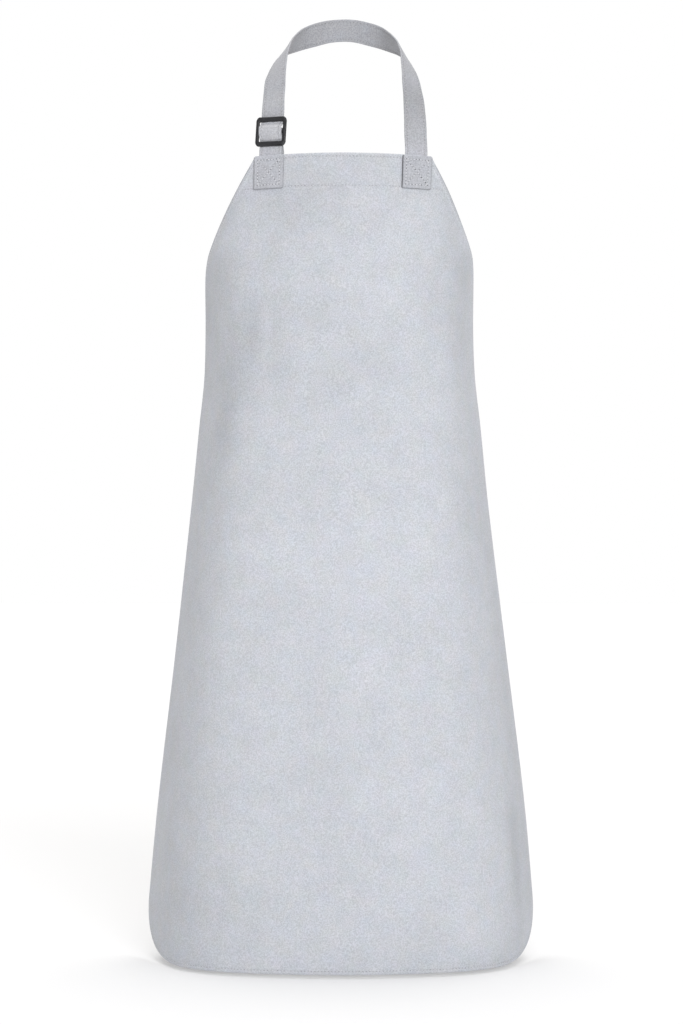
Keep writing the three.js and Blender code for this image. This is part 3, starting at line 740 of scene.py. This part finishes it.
def patch_lines(side):
    """The stitched box and its cross, in pattern space."""
    x, z = patch_frame(side)
    w = PATCH_WIDTH / 2 - PATCH_SEAM_INSET
    h = PATCH_HEIGHT / 2 - PATCH_SEAM_INSET
    corners = [(x - w, z + h), (x + w, z + h), (x + w, z - h), (x - w, z - h)]
    box = [[corners[i], corners[(i + 1) % 4]] for i in range(4)]
    return box + [[corners[0], corners[2]], [corners[1], corners[3]]]


def line_distance(points, line):
    a, b = np.array(line[0]), np.array(line[1])
    way = b - a
    share = np.clip((points - a) @ way / (way @ way), 0, 1)
    return np.linalg.norm(points - (a + share[:, None] * way), axis=1)


def rim_gaps(local, half, side=1):
    """Distances from a patch's rims, how far each stands off the bib and how dark it is painted:
    painted shadow, darkest at the left rims.
    """
    return [
        # dark is painted shadow, most at the left and bottom, away from the light
        dict(gap=local[:, 0] + half[0], rise=0.85, dark=0.9 if side > 0 else 0.4),
        dict(gap=half[0] - local[:, 0], rise=0.3, dark=0.2),
        dict(gap=local[:, 1] + half[1], rise=0.5, dark=0.26),
        dict(gap=half[1] - local[:, 1], rise=0.15, dark=0.05),
    ]


def rim_lift(local, half):
    """How far a patch's rim stands off the bib outside its stitching, most at its left."""
    lift = np.zeros(len(local))
    for rim in rim_gaps(local, half):
        share = np.clip(1 - rim["gap"] / PATCH_SEAM_INSET, 0, 1)
        lift = np.maximum(lift, rim["rise"] * MM * share**1.5)
    return lift


def rim_shadow(local, half, side):
    """How much darker a patch is painted along its cut edges: painted shadow beside its lifted
    rims, most at the left.
    """
    painted_shading = np.zeros(len(local))
    for rim in rim_gaps(local, half, side):
        share = np.clip(1 - rim["gap"] / RIM_SHADOW_WIDTH, 0, 1)
        painted_shading = np.minimum(painted_shading, -rim["dark"] * share)
    return painted_shading


def build_patch(side, name, node, materials):
    x, z = patch_frame(side)
    bm = bmesh.new()
    bmesh.ops.create_grid(bm, x_segments=34, y_segments=36, size=1)
    half = np.array([PATCH_WIDTH / 2, PATCH_HEIGHT / 2])
    local = positions(bm)[:, :2] * half

    # Round the corners
    reach = np.maximum(np.abs(local) - (half - PATCH_CORNER), 0)
    over = np.linalg.norm(reach, axis=1)
    pull = np.where(over > PATCH_CORNER, PATCH_CORNER / np.maximum(over, 1e-9), 1)
    inner = np.minimum(np.abs(local), half - PATCH_CORNER)
    local = np.sign(local) * (inner + reach * pull[:, None])

    # Press the stitched lines in, roll the rim back and lift it off the bib
    near = np.min([line_distance(local + [x, z], line) for line in patch_lines(side)], axis=0)
    sink = GROOVE_DEPTH * bell(near, 0.95 * MM)
    edge = np.min(half - np.abs(local), axis=1)
    roll = 0.4 * MM * np.clip(1 - edge / (1.1 * MM), 0, 1) ** 2
    wave = 0.08 * MM * np.sin(local[:, 0] * 520 + side) * np.sin(local[:, 1] * 430)
    depth = sink + roll + wave - rim_lift(local, half) - PATCH_GAP - PATCH_THICKNESS
    # Where the stitched grooves get painted shade
    store(bm, "seam", bell(near, 1.1 * MM))
    # Painted shadow along the patch's rims
    store(bm, "painted_shading", rim_shadow(local, half, side))
    place(bm, np.stack([local[:, 0] + x, depth, local[:, 1] + z], axis=1))
    for v in add_back(bm):
        at = np.array([[v.co.x - x, v.co.z - z]])
        v.co.y = -PATCH_GAP - float(rim_lift(at, half)[0])
    bmesh.ops.recalc_face_normals(bm, faces=bm.faces)
    wear(bm)
    return finish_piece(bm, name, materials, [node])


def build_patch_seams(materials):
    bm = bmesh.new()
    depth = GROOVE_DEPTH * 0.8 - PATCH_GAP - PATCH_THICKNESS
    for side in (-1, 1):
        *box, falling, rising = patch_lines(side)
        for line in box + [rising]:
            sew(bm, line, depth)
        # Larger holes on the right patch's falling line: a stronger line of painted shade
        sew(bm, falling, depth, hole=HOLE_RADIUS * (1.4 if side > 0 else 1))
    wear(bm)
    return finish_piece(bm, "patch_seams", materials)


# Strap, tab and slide

TAB_BEHIND = STRAP_THICKNESS / 2 + LOOSE_GAP + TAB_THICKNESS / 2


def one_worn(flat, drop, depth):
    return Vector(worn(np.array([flat]), np.array([drop]), np.array([depth]))[0])


def bib_frame(side, drop):
    """Frame of a strap end behind the bib, clear of the curved leather."""
    flat = patch_frame(side)[0]
    back = one_worn(flat, drop, 2 * WALL)
    face = (one_worn(flat, drop, 0) - back).normalized()
    bows = [
        (back - one_worn(flat + edge * STRAP_WIDTH / 2, drop, 2 * WALL)).dot(face)
        for edge in (-1, 1)
    ]
    return back - face * (END_GAP + STRAP_THICKNESS / 2 + max(0, *bows)), face


def compass(side, facing, lean):
    """Direction turned from the front towards a side by facing and up by lean, in degrees."""
    turn, tilt = math.radians(facing), math.radians(lean)
    level = math.cos(tilt)
    return Vector((side * math.sin(turn) * level, -math.cos(turn) * level, math.sin(tilt)))


def strap_frames():
    """Middle points and outward directions of the strap, from the right of the bib to the left."""
    drops = [STRAP_END, STRAP_END / 2, 0]
    right = [bib_frame(1, drop) for drop in drops]
    left = [bib_frame(-1, drop) for drop in drops]
    nape = (Vector((0, STRAP_THICKNESS / 2, 0)), compass(1, 180, 0))

    def climb(rows, start, side):
        frames = []
        for row in rows:
            y = mix(start.y, nape[0].y, row["back"])
            z = mix(start.z, nape[0].z, row["up"])
            facing = compass(side, row["facing"], row["lean"])
            frames.append((Vector((start.x * row["across"], y, z)), facing))
        return frames

    rise = Vector((math.tan(math.radians(LEAN_IN)), math.tan(math.radians(LEAN_BACK)), 1))
    rise.normalize()
    straight = [
        (left[2][0] + rise * (share * STRAIGHT_LENGTH), left[2][1].copy())
        for share in (1, 0.75, 0.5, 0.25)
    ]
    frames = right + climb(RIGHT_ROUTE, right[2][0], 1) + [nape]
    frames += climb(LEFT_ROUTE, left[2][0], -1)[::-1] + straight + left[::-1]
    return frames


def curve_through(points, samples):
    """Points of a centripetal curve through the given ones, samples to each span."""
    p = np.array(points, float)
    p = np.vstack([2 * p[0] - p[1], p, 2 * p[-1] - p[-2]])
    s = np.arange(samples)[:, None] / samples
    out = []
    for i in range(1, len(p) - 2):
        gaps = np.linalg.norm(np.diff(p[i - 1 : i + 3], axis=0), axis=1) ** 0.5
        gaps[1] = gaps[1] if gaps[1] > 1e-4 else 1.0
        gaps[0] = gaps[0] if gaps[0] > 1e-4 else gaps[1]
        gaps[2] = gaps[2] if gaps[2] > 1e-4 else gaps[1]
        d0 = (p[i] - p[i - 1]) / gaps[0] - (p[i + 1] - p[i - 1]) / (gaps[0] + gaps[1])
        d0 = (d0 + (p[i + 1] - p[i]) / gaps[1]) * gaps[1]
        d1 = (p[i + 1] - p[i]) / gaps[1] - (p[i + 2] - p[i]) / (gaps[1] + gaps[2])
        d1 = (d1 + (p[i + 2] - p[i + 1]) / gaps[2]) * gaps[1]
        out.append(between(s, p[i], d0, p[i + 1], d1))
    out.append(p[-2][None, :])
    return np.vstack(out)


class Route:
    """Smooth route of the strap's middle line with its outer face along it."""

    def __init__(self):
        frames = strap_frames()
        samples = 24
        self.points = curve_through([f[0] for f in frames], samples)
        self.faces = curve_through([f[1] for f in frames], samples)
        self.lengths = running_length(self.points)
        self.length = self.lengths[-1]
        self.slide_at = self.lengths[(len(frames) - 3) * samples] - SLIDE_RISE

    def at(self, distance):
        """Points, directions along, faces and directions across at distances from the start."""
        distance = np.clip(np.atleast_1d(distance), 0, self.length)
        reach = 0.5 * MM
        after = line_at(np.minimum(distance + reach, self.length), self.lengths, self.points)
        before = line_at(np.maximum(distance - reach, 0), self.lengths, self.points)
        along = unit(after - before)
        across = unit(np.cross(along, line_at(distance, self.lengths, self.faces)))
        points = line_at(distance, self.lengths, self.points)
        return points, along, np.cross(across, along), across


route = Route()

SLIDE_OUT = STRAP_THICKNESS / 2 + LOOSE_GAP + SLIDE_THICKNESS / 2
LOOP_RADIUS = SLIDE_THICKNESS / 2 + 0.3 * MM + TAB_THICKNESS / 2
TAB_OVER = SLIDE_OUT + LOOP_RADIUS
STRAP_OVER = TAB_OVER + TAB_THICKNESS / 2 + LOOSE_GAP + STRAP_THICKNESS / 2
WINDOW_END = SLIDE_HEIGHT / 2 - SLIDE_BAR
LOOP_LIFT = SLIDE_CENTRE_BAR / 2 - SLIDE_EDGE
STRAP_CREST = LOOP_LIFT + LOOP_RADIUS - TAB_THICKNESS
TAB_CREST = LOOP_LIFT + TAB_THICKNESS / 2


def strap_lift(distance):
    """How far the strap stands out where it passes over the slide's middle bar."""
    away = np.abs(distance - route.slide_at)
    return STRAP_OVER * ease((WINDOW_END - away) / (WINDOW_END - STRAP_CREST))


def strap_path(distance):
    point, along, face, across = route.at(distance)
    return point + face * strap_lift(distance)[:, None], across


def tab_path():
    """The tab's middle line, as points and directions across it: up behind the bottom bar,
    round the middle bar and down again."""
    reach = WINDOW_END - TAB_THICKNESS
    bottom = route.length - route.slide_at
    belows = np.concatenate(
        [np.linspace(-LOOP_LIFT, reach, 16), np.linspace(reach, bottom, 12)[1:]]
    )
    crossing = ease((reach - belows) / (reach - TAB_CREST))
    front = mix(-TAB_BEHIND, TAB_OVER, crossing)
    back = mix(-TAB_BEHIND - TAB_THICKNESS - 0.3 * MM, SLIDE_OUT - LOOP_RADIUS, crossing)
    angles = np.linspace(0, math.pi, 14)[1:-1]
    below = np.concatenate([belows[::-1], -LOOP_LIFT - LOOP_RADIUS * np.sin(angles), belows])
    out = np.concatenate([front[::-1], SLIDE_OUT + LOOP_RADIUS * np.cos(angles), back])
    point, along, face, across = route.at(route.slide_at + below)
    drift = TAB_ASIDE * ease((below - WINDOW_END) / (SLIDE_RISE - WINDOW_END))
    return point - across * drift[:, None] + face * out[:, None], -across


def strap_shading(distance):
    """How light the strap is painted along its length: painted light and shade from the table, and
    painted light where the slide's bars and its bend shade it.
    """
    painted_shading = np.zeros_like(distance)
    for row in STRAP_SHADE_SPOTS:
        painted_shading += row["shade"] * bell(distance / route.length - row["along"], row["wide"])
    away = np.abs(distance - route.slide_at) / WINDOW_END
    # Painted light over the middle bar, more towards the window's ends
    window_light = WINDOW_PAINTED_LIGHT + BEND_PAINTED_LIGHT * np.minimum(away, 1) ** 3
    painted_shading += window_light * ease((1.35 - away) / 0.3)
    # Painted light in the top bar's shadow
    above = (route.slide_at - distance) / WINDOW_END
    painted_shading += BAR_SHADOW_FILL * ease((above - 0.62) / 0.2) * ease((1.2 - above) / 0.2)
    # Painted light below the slide, in its shadow
    below = (distance - route.slide_at - SLIDE_HEIGHT / 2) / (2 * MM)
    return painted_shading + BELOW_SLIDE_LIGHT * ease(1 + below)


def bend_strip(bm, points, across):
    """Bends a flat strip along a path. In pattern space z runs down the strip from 0, x is
    across it and y is the depth behind its middle."""
    keep_pattern_map(bm)
    lengths = running_length(points)
    flat = positions(bm)
    reach = 0.6 * MM
    distance = np.clip(-flat[:, 2], 0, lengths[-1])
    after = line_at(np.minimum(distance + reach, lengths[-1]), lengths, points)
    before = line_at(np.maximum(distance - reach, 0), lengths, points)
    along = unit(after - before)
    face = unit(np.cross(line_at(distance, lengths, across), along))
    side = np.cross(along, face)
    at = line_at(distance, lengths, points)
    place(bm, at + side * flat[:, 0:1] - face * flat[:, 1:2])


STRIP_COLUMNS = [-1, -0.975, -0.93, -0.83, -0.79, -0.76, -0.73, -0.68, -0.45, -0.15]


def build_strip(name, path, thickness, step, materials, node, seams, painted_shading=np.zeros_like):
    """A flat leather strip with rounded edges, where it is sewn a groove at each seam, bent
    along its path. Its last argument gives how light it is painted, as painted light and shade, at
    distances from its start."""
    points, across = path
    length = float(running_length(points)[-1])
    columns = np.array(STRIP_COLUMNS + [-c for c in reversed(STRIP_COLUMNS)])
    rows = max(int(round(length / step)), 8)
    bm = bmesh.new()
    bmesh.ops.create_grid(bm, x_segments=len(columns) - 1, y_segments=rows, size=1)
    half = STRAP_WIDTH / 2
    flat = positions(bm)
    share = np.interp(flat[:, 0], np.linspace(-1, 1, len(columns)), columns)
    down = (1 - flat[:, 1]) / 2 * length
    edge = np.clip((np.abs(share) - 0.93) / 0.07, 0, 1)
    near = bell((1 - np.abs(share)) * half - STRAP_SEAM_INSET, 0.75 * MM) * seams
    depth = -thickness / 2 + 0.3 * thickness * edge**2 + 0.16 * MM * near
    # Where the stitched grooves get painted shade
    store(bm, "seam", near)
    # Painted light and shade along the strip
    store(bm, "painted_shading", painted_shading(down))
    wobble = 0.12 * MM * np.sin(flat[:, 1] * length * 95 + 1.3 * np.sign(share))
    x = share * half + np.sign(share) * wobble * (np.abs(share) > 0.9)
    place(bm, np.stack([x, depth, -down], axis=1))
    for v in add_back(bm):
        v.co.y = -v.co.y
    bmesh.ops.recalc_face_normals(bm, faces=bm.faces)
    bend_strip(bm, points, across)
    return finish_piece(bm, name, materials, [node])


def build_strap_seams(path, materials):
    """Stitching along both edges of the strap, on both faces."""
    length = running_length(path[0])[-1]
    bm = bmesh.new()
    for side in (-1, 1):
        x = side * (STRAP_WIDTH / 2 - STRAP_SEAM_INSET)
        line = [(x, -STRAP_SEAM_INSET), (x, STRAP_SEAM_INSET - length)]
        sew(bm, line, -STRAP_THICKNESS / 2 + 0.1 * MM, hole=SMALL_HOLE)
        sew(bm, line, STRAP_THICKNESS / 2 - 0.1 * MM, 1, SMALL_HOLE)
    bend_strip(bm, *path)
    return finish_piece(bm, "strap_seams", materials)


def build_slide(material):
    """Three-bar slide: a plate with two windows, its corners and rims rounded."""
    window = STRAP_WIDTH + 2 * SLIDE_SIDE_GAP
    width = window + 2 * SLIDE_SIDE_BAR
    xs = [-width / 2, -window / 2, window / 2, width / 2]
    zs = [-SLIDE_HEIGHT / 2, -WINDOW_END, -SLIDE_CENTRE_BAR / 2]
    zs += [-z for z in reversed(zs)]
    bm = bmesh.new()
    bmesh.ops.create_grid(bm, x_segments=len(xs) - 1, y_segments=len(zs) - 1, size=1)
    for v in bm.verts:
        x = np.interp(v.co.x, np.linspace(-1, 1, len(xs)), xs)
        z = np.interp(v.co.y, np.linspace(-1, 1, len(zs)), zs)
        v.co = (x, -SLIDE_THICKNESS / 2, z)
    holes = []
    for face in bm.faces:
        centre = face.calc_center_median()
        inside = abs(centre.x) < window / 2
        if inside and SLIDE_CENTRE_BAR / 2 < abs(centre.z) < WINDOW_END:
            holes.append(face)
    bmesh.ops.delete(bm, geom=holes, context="FACES")
    for v in add_back(bm):
        v.co.y = SLIDE_THICKNESS / 2
    bmesh.ops.recalc_face_normals(bm, faces=bm.faces)

    def corner_posts(wanted):
        """Edges through the plate at the corners that are wanted by their distances."""
        return [
            e
            for e in bm.edges
            if abs(e.verts[0].co.y - e.verts[1].co.y) > SLIDE_THICKNESS / 2
            and wanted(abs(e.verts[0].co.x), abs(e.verts[0].co.z))
            and e.calc_face_angle(0) > 1
        ]

    def soften(edges, offset, segments):
        bmesh.ops.bevel(
            bm, geom=edges, offset=offset, offset_type="OFFSET", segments=segments,
            profile=0.5, affect="EDGES", material=-1,
        )

    near = 1e-6
    outer = corner_posts(lambda x, z: x > width / 2 - near and z > SLIDE_HEIGHT / 2 - near)
    soften(outer, SLIDE_CORNER, 8)
    inner = corner_posts(
        lambda x, z: abs(x - window / 2) < near
        and (abs(z - WINDOW_END) < near or abs(z - SLIDE_CENTRE_BAR / 2) < near)
    )
    soften(inner, WINDOW_CORNER, 4)
    rims = [e for e in bm.edges if len(e.link_faces) == 2 and e.calc_face_angle(0) > 1.2]
    soften(rims, SLIDE_RIM, 4)
    point, along, face, across = (Vector(v[0]) for v in route.at(route.slide_at))
    basis = Matrix((across, -face, -along)).transposed().to_4x4()
    basis.translation = point + face * SLIDE_OUT
    bmesh.ops.transform(bm, matrix=basis, verts=bm.verts)
    bmesh.ops.recalc_face_normals(bm, faces=bm.faces)
    return finish_piece(bm, "slide", [material], ["buckle"])


# Finishes


def new_material(name):
    material = bpy.data.materials.new(name)
    material.use_nodes = True
    return material, material.node_tree, material.node_tree.nodes["Principled BSDF"]


def node_with(tree, kind, values):
    """A new node with the given values on its sockets."""
    node = tree.nodes.new(kind)
    for name, value in values.items():
        node.inputs[name].default_value = value
    return node


def noise(tree, source, scale, detail, roughness=0.55):
    values = {"Scale": scale, "Detail": detail, "Roughness": roughness}
    node = node_with(tree, "ShaderNodeTexNoise", values)
    tree.links.new(source, node.inputs["Vector"])
    return node.outputs["Fac"]


def spread(tree, value, low, high, from_low=0.3, from_high=0.7):
    """A value that runs from from_low to from_high, made to run from low to high."""
    values = {"From Min": from_low, "From Max": from_high, "To Min": low, "To Max": high}
    node = node_with(tree, "ShaderNodeMapRange", values)
    tree.links.new(value, node.inputs["Value"])
    return node.outputs["Result"]


def times(tree, a, b):
    node = tree.nodes.new("ShaderNodeMath")
    node.operation = "MULTIPLY"
    tree.links.new(a, node.inputs[0])
    tree.links.new(b, node.inputs[1])
    return node.outputs[0]


def tinted(tree, colour, value):
    """A colour, fixed or from a node, made lighter or darker by a value."""
    node = tree.nodes.new("ShaderNodeVectorMath")
    node.operation = "SCALE"
    if isinstance(colour, tuple):
        node.inputs[0].default_value = colour
    else:
        tree.links.new(colour, node.inputs[0])
    tree.links.new(value, node.inputs["Scale"])
    return node.outputs["Vector"]


def bump(tree, height, strength, distance, normal=None):
    node = node_with(tree, "ShaderNodeBump", {"Strength": strength, "Distance": distance})
    tree.links.new(height, node.inputs["Height"])
    if normal is not None:
        tree.links.new(normal, node.inputs["Normal"])
    return node.outputs["Normal"]


def attribute(tree, name):
    node = tree.nodes.new("ShaderNodeAttribute")
    node.attribute_name = name
    return node.outputs["Fac"]


def leather_hues(tree, coords, colour, much):
    """The leather's colour, turning a little warmer or cooler from place to place."""
    warm = tree.nodes.new("ShaderNodeCombineColor")
    parts = [("Red", 60, 1 + much, 1 - much), ("Blue", 55, 1 - 1.2 * much, 1 + 1.2 * much)]
    for k, (socket, scale, low, high) in zip((0, 2), parts):
        shade = spread(tree, noise(tree, coords, scale, 3, 0.6), colour[k] * low, colour[k] * high)
        tree.links.new(shade, warm.inputs[socket])
    warm.inputs["Green"].default_value = colour[1]
    return warm.outputs["Color"]


def split_leather(name, colour, grain=0.12, nap=0.2, hues=0.026):
    """Split leather: a matt nap of short fibres with light and dark specks and faint clouds, with
    painted shade in its stitched grooves and painted light and shade read from its vertices.
    """
    material, tree, shader = new_material(name)
    coords = tree.nodes.new("ShaderNodeTexCoord").outputs["Object"]
    clouds = spread(tree, noise(tree, coords, 7, 2), 0.97, 1.03)
    mottle = spread(tree, noise(tree, coords, 34, 3, 0.6), 0.966, 1.034)
    fibres = spread(tree, noise(tree, coords, 760, 0), 1 - grain, 1 + grain)
    # Painted shade in the stitched grooves, where the seam layer says
    groove_shade = spread(tree, attribute(tree, "seam"), 1.0, 0.93, 0.0, 1.0)
    # Painted light and shade kept at the vertices, made into a share of the colour
    shading_paint = spread(tree, attribute(tree, "painted_shading"), 0.1, 1.9, -0.9, 0.9)
    shade = times(tree, times(tree, clouds, mottle), fibres)
    shade = times(tree, shade, times(tree, groove_shade, shading_paint))
    tint = tinted(tree, leather_hues(tree, coords, colour, hues), shade)
    tree.links.new(tint, shader.inputs["Base Color"])
    rough = spread(tree, noise(tree, coords, 140, 2), 0.86, 1.0)
    tree.links.new(rough, shader.inputs["Roughness"])
    shader.inputs["Specular IOR Level"].default_value = 0.12
    shader.inputs["Sheen Weight"].default_value = nap
    shader.inputs["Sheen Roughness"].default_value = 0.5
    shader.inputs["Sheen Tint"].default_value = (0.96, 0.97, 1.0, 1.0)
    soft = bump(tree, noise(tree, coords, 36, 3, 0.5), 0.25, 0.001)
    pile = bump(tree, noise(tree, coords, 900, 1), 0.3, 0.0004, soft)
    tree.links.new(pile, shader.inputs["Normal"])
    return material


def thread_material(name, colour):
    """Twisted sewing thread, slightly glossy."""
    material, tree, shader = new_material(name)
    coords = tree.nodes.new("ShaderNodeTexCoord").outputs["Object"]
    wave = node_with(tree, "ShaderNodeTexWave", {"Scale": 900, "Distortion": 2})
    tree.links.new(coords, wave.inputs["Vector"])
    shade = spread(tree, noise(tree, coords, 260, 2), 0.88, 1.1)
    tree.links.new(tinted(tree, colour, shade), shader.inputs["Base Color"])
    shader.inputs["Roughness"].default_value = 0.6
    tree.links.new(bump(tree, wave.outputs["Fac"], 0.4, 0.0002), shader.inputs["Normal"])
    return material


def moulded_plastic(name):
    """Black moulded plastic with a fine texture and a soft shine."""
    material, tree, shader = new_material(name)
    coords = tree.nodes.new("ShaderNodeTexCoord").outputs["Object"]
    shade = spread(tree, noise(tree, coords, 300, 3), 0.8, 1.25)
    tree.links.new(tinted(tree, PLASTIC_COLOUR, shade), shader.inputs["Base Color"])
    rough = spread(tree, noise(tree, coords, 420, 3), 0.34, 0.5)
    tree.links.new(rough, shader.inputs["Roughness"])
    shader.inputs["Specular IOR Level"].default_value = 0.45
    grain = bump(tree, noise(tree, coords, 900, 2), 0.25, 0.0002)
    tree.links.new(grain, shader.inputs["Normal"])
    return material


# Camera, floor and light


def build_studio():
    scene = bpy.context.scene
    camera = bpy.data.cameras.new("camera")
    camera.lens = CAMERA_LENS
    camera.sensor_width = 36
    camera.clip_end = 5 * FLOOR_REACH
    eye = bpy.data.objects.new("camera", camera)
    eye.location = CAMERA_PLACE
    eye.rotation_euler = (math.pi / 2, 0, 0)
    scene.collection.objects.link(eye)
    scene.camera = eye

    bm = bmesh.new()
    level = Matrix.Translation((0, 0, cad_low.z - FLOOR_GAP))
    bmesh.ops.create_grid(bm, x_segments=1, y_segments=1, size=FLOOR_REACH, matrix=level)
    mesh = bpy.data.meshes.new("floor")
    bm.to_mesh(mesh)
    bm.free()
    material, tree, shader = new_material("pale_floor")
    shader.inputs["Base Color"].default_value = FLOOR_COLOUR
    shader.inputs["Roughness"].default_value = 0.95
    shader.inputs["Specular IOR Level"].default_value = 0.0
    mesh.materials.append(material)
    floor = bpy.data.objects.new("floor", mesh)
    scene.collection.objects.link(floor)

    # White all round as seen, and a softer white as light
    world = bpy.data.worlds.new("studio")
    world.use_nodes = True
    tree = world.node_tree
    lighting = tree.nodes["Background"]
    lighting.inputs["Color"].default_value = ROOM_COLOUR
    lighting.inputs["Strength"].default_value = ROOM_LIGHT
    seen = node_with(tree, "ShaderNodeBackground", {"Color": (1, 1, 1, 1)})
    path = tree.nodes.new("ShaderNodeLightPath")
    either = tree.nodes.new("ShaderNodeMixShader")
    tree.links.new(path.outputs["Is Camera Ray"], either.inputs["Fac"])
    tree.links.new(lighting.outputs["Background"], either.inputs[1])
    tree.links.new(seen.outputs["Background"], either.inputs[2])
    tree.links.new(either.outputs["Shader"], tree.nodes["World Output"].inputs["Surface"])
    scene.world = world

    for row in LAMPS:
        light = bpy.data.lights.new(row["name"], "SUN")
        light.energy = row["power"]
        light.angle = math.radians(row["softness"])
        light.color = row["colour"]
        lamp = bpy.data.objects.new(row["name"], light)
        lamp.rotation_euler = (math.radians(90 - row["height"]), 0, math.radians(row["aside"]))
        scene.collection.objects.link(lamp)

    scene.view_settings.view_transform = "Standard"
    scene.view_settings.look = "None"


build_studio()

suede = split_leather("suede", SUEDE_COLOUR)
patch_leather = split_leather("patch_leather", PATCH_COLOUR, 0.13, hues=0.012)
strap_leather = split_leather("strap_leather", STRAP_COLOUR, 0.14, hues=0.015)
patch_thread = thread_material("patch_thread", PATCH_THREAD_COLOUR)
strap_thread = thread_material("strap_thread", STRAP_THREAD_COLOUR)
panel_thread = thread_material("panel_thread", PANEL_THREAD_COLOUR)
# Painted shade for the needle holes
patch_hole_shade = split_leather("patch_hole_shade", PATCH_HOLE_SHADE_COLOUR, 0.1, 0.0)
needle_hole_shade = split_leather("needle_hole_shade", HOLE_SHADE_COLOUR, 0.1, 0.0)
plastic = moulded_plastic("black_plastic")

hide = build_panel([suede])
panel_seams = build_panel_seams([panel_thread, needle_hole_shade])
build_patch(-1, "left_patch", "patch_left", [patch_leather])
build_patch(1, "right_patch", "patch_right", [patch_leather])
build_patch_seams([patch_thread, patch_hole_shade])

strap_line = strap_path(np.linspace(0, route.length, 900))
build_strip(
    "strap", strap_line, STRAP_THICKNESS, 2 * MM, [strap_leather], "neck_strap", 1, strap_shading
)
build_strap_seams(strap_line, [strap_thread, needle_hole_shade])
build_strip("tab", tab_path(), TAB_THICKNESS, 1 * MM, [strap_leather], "buckle_tab", 0)
build_slide(plastic)

widths, downs = outline_point(np.linspace(0, PANEL_LENGTH, 200), 0)
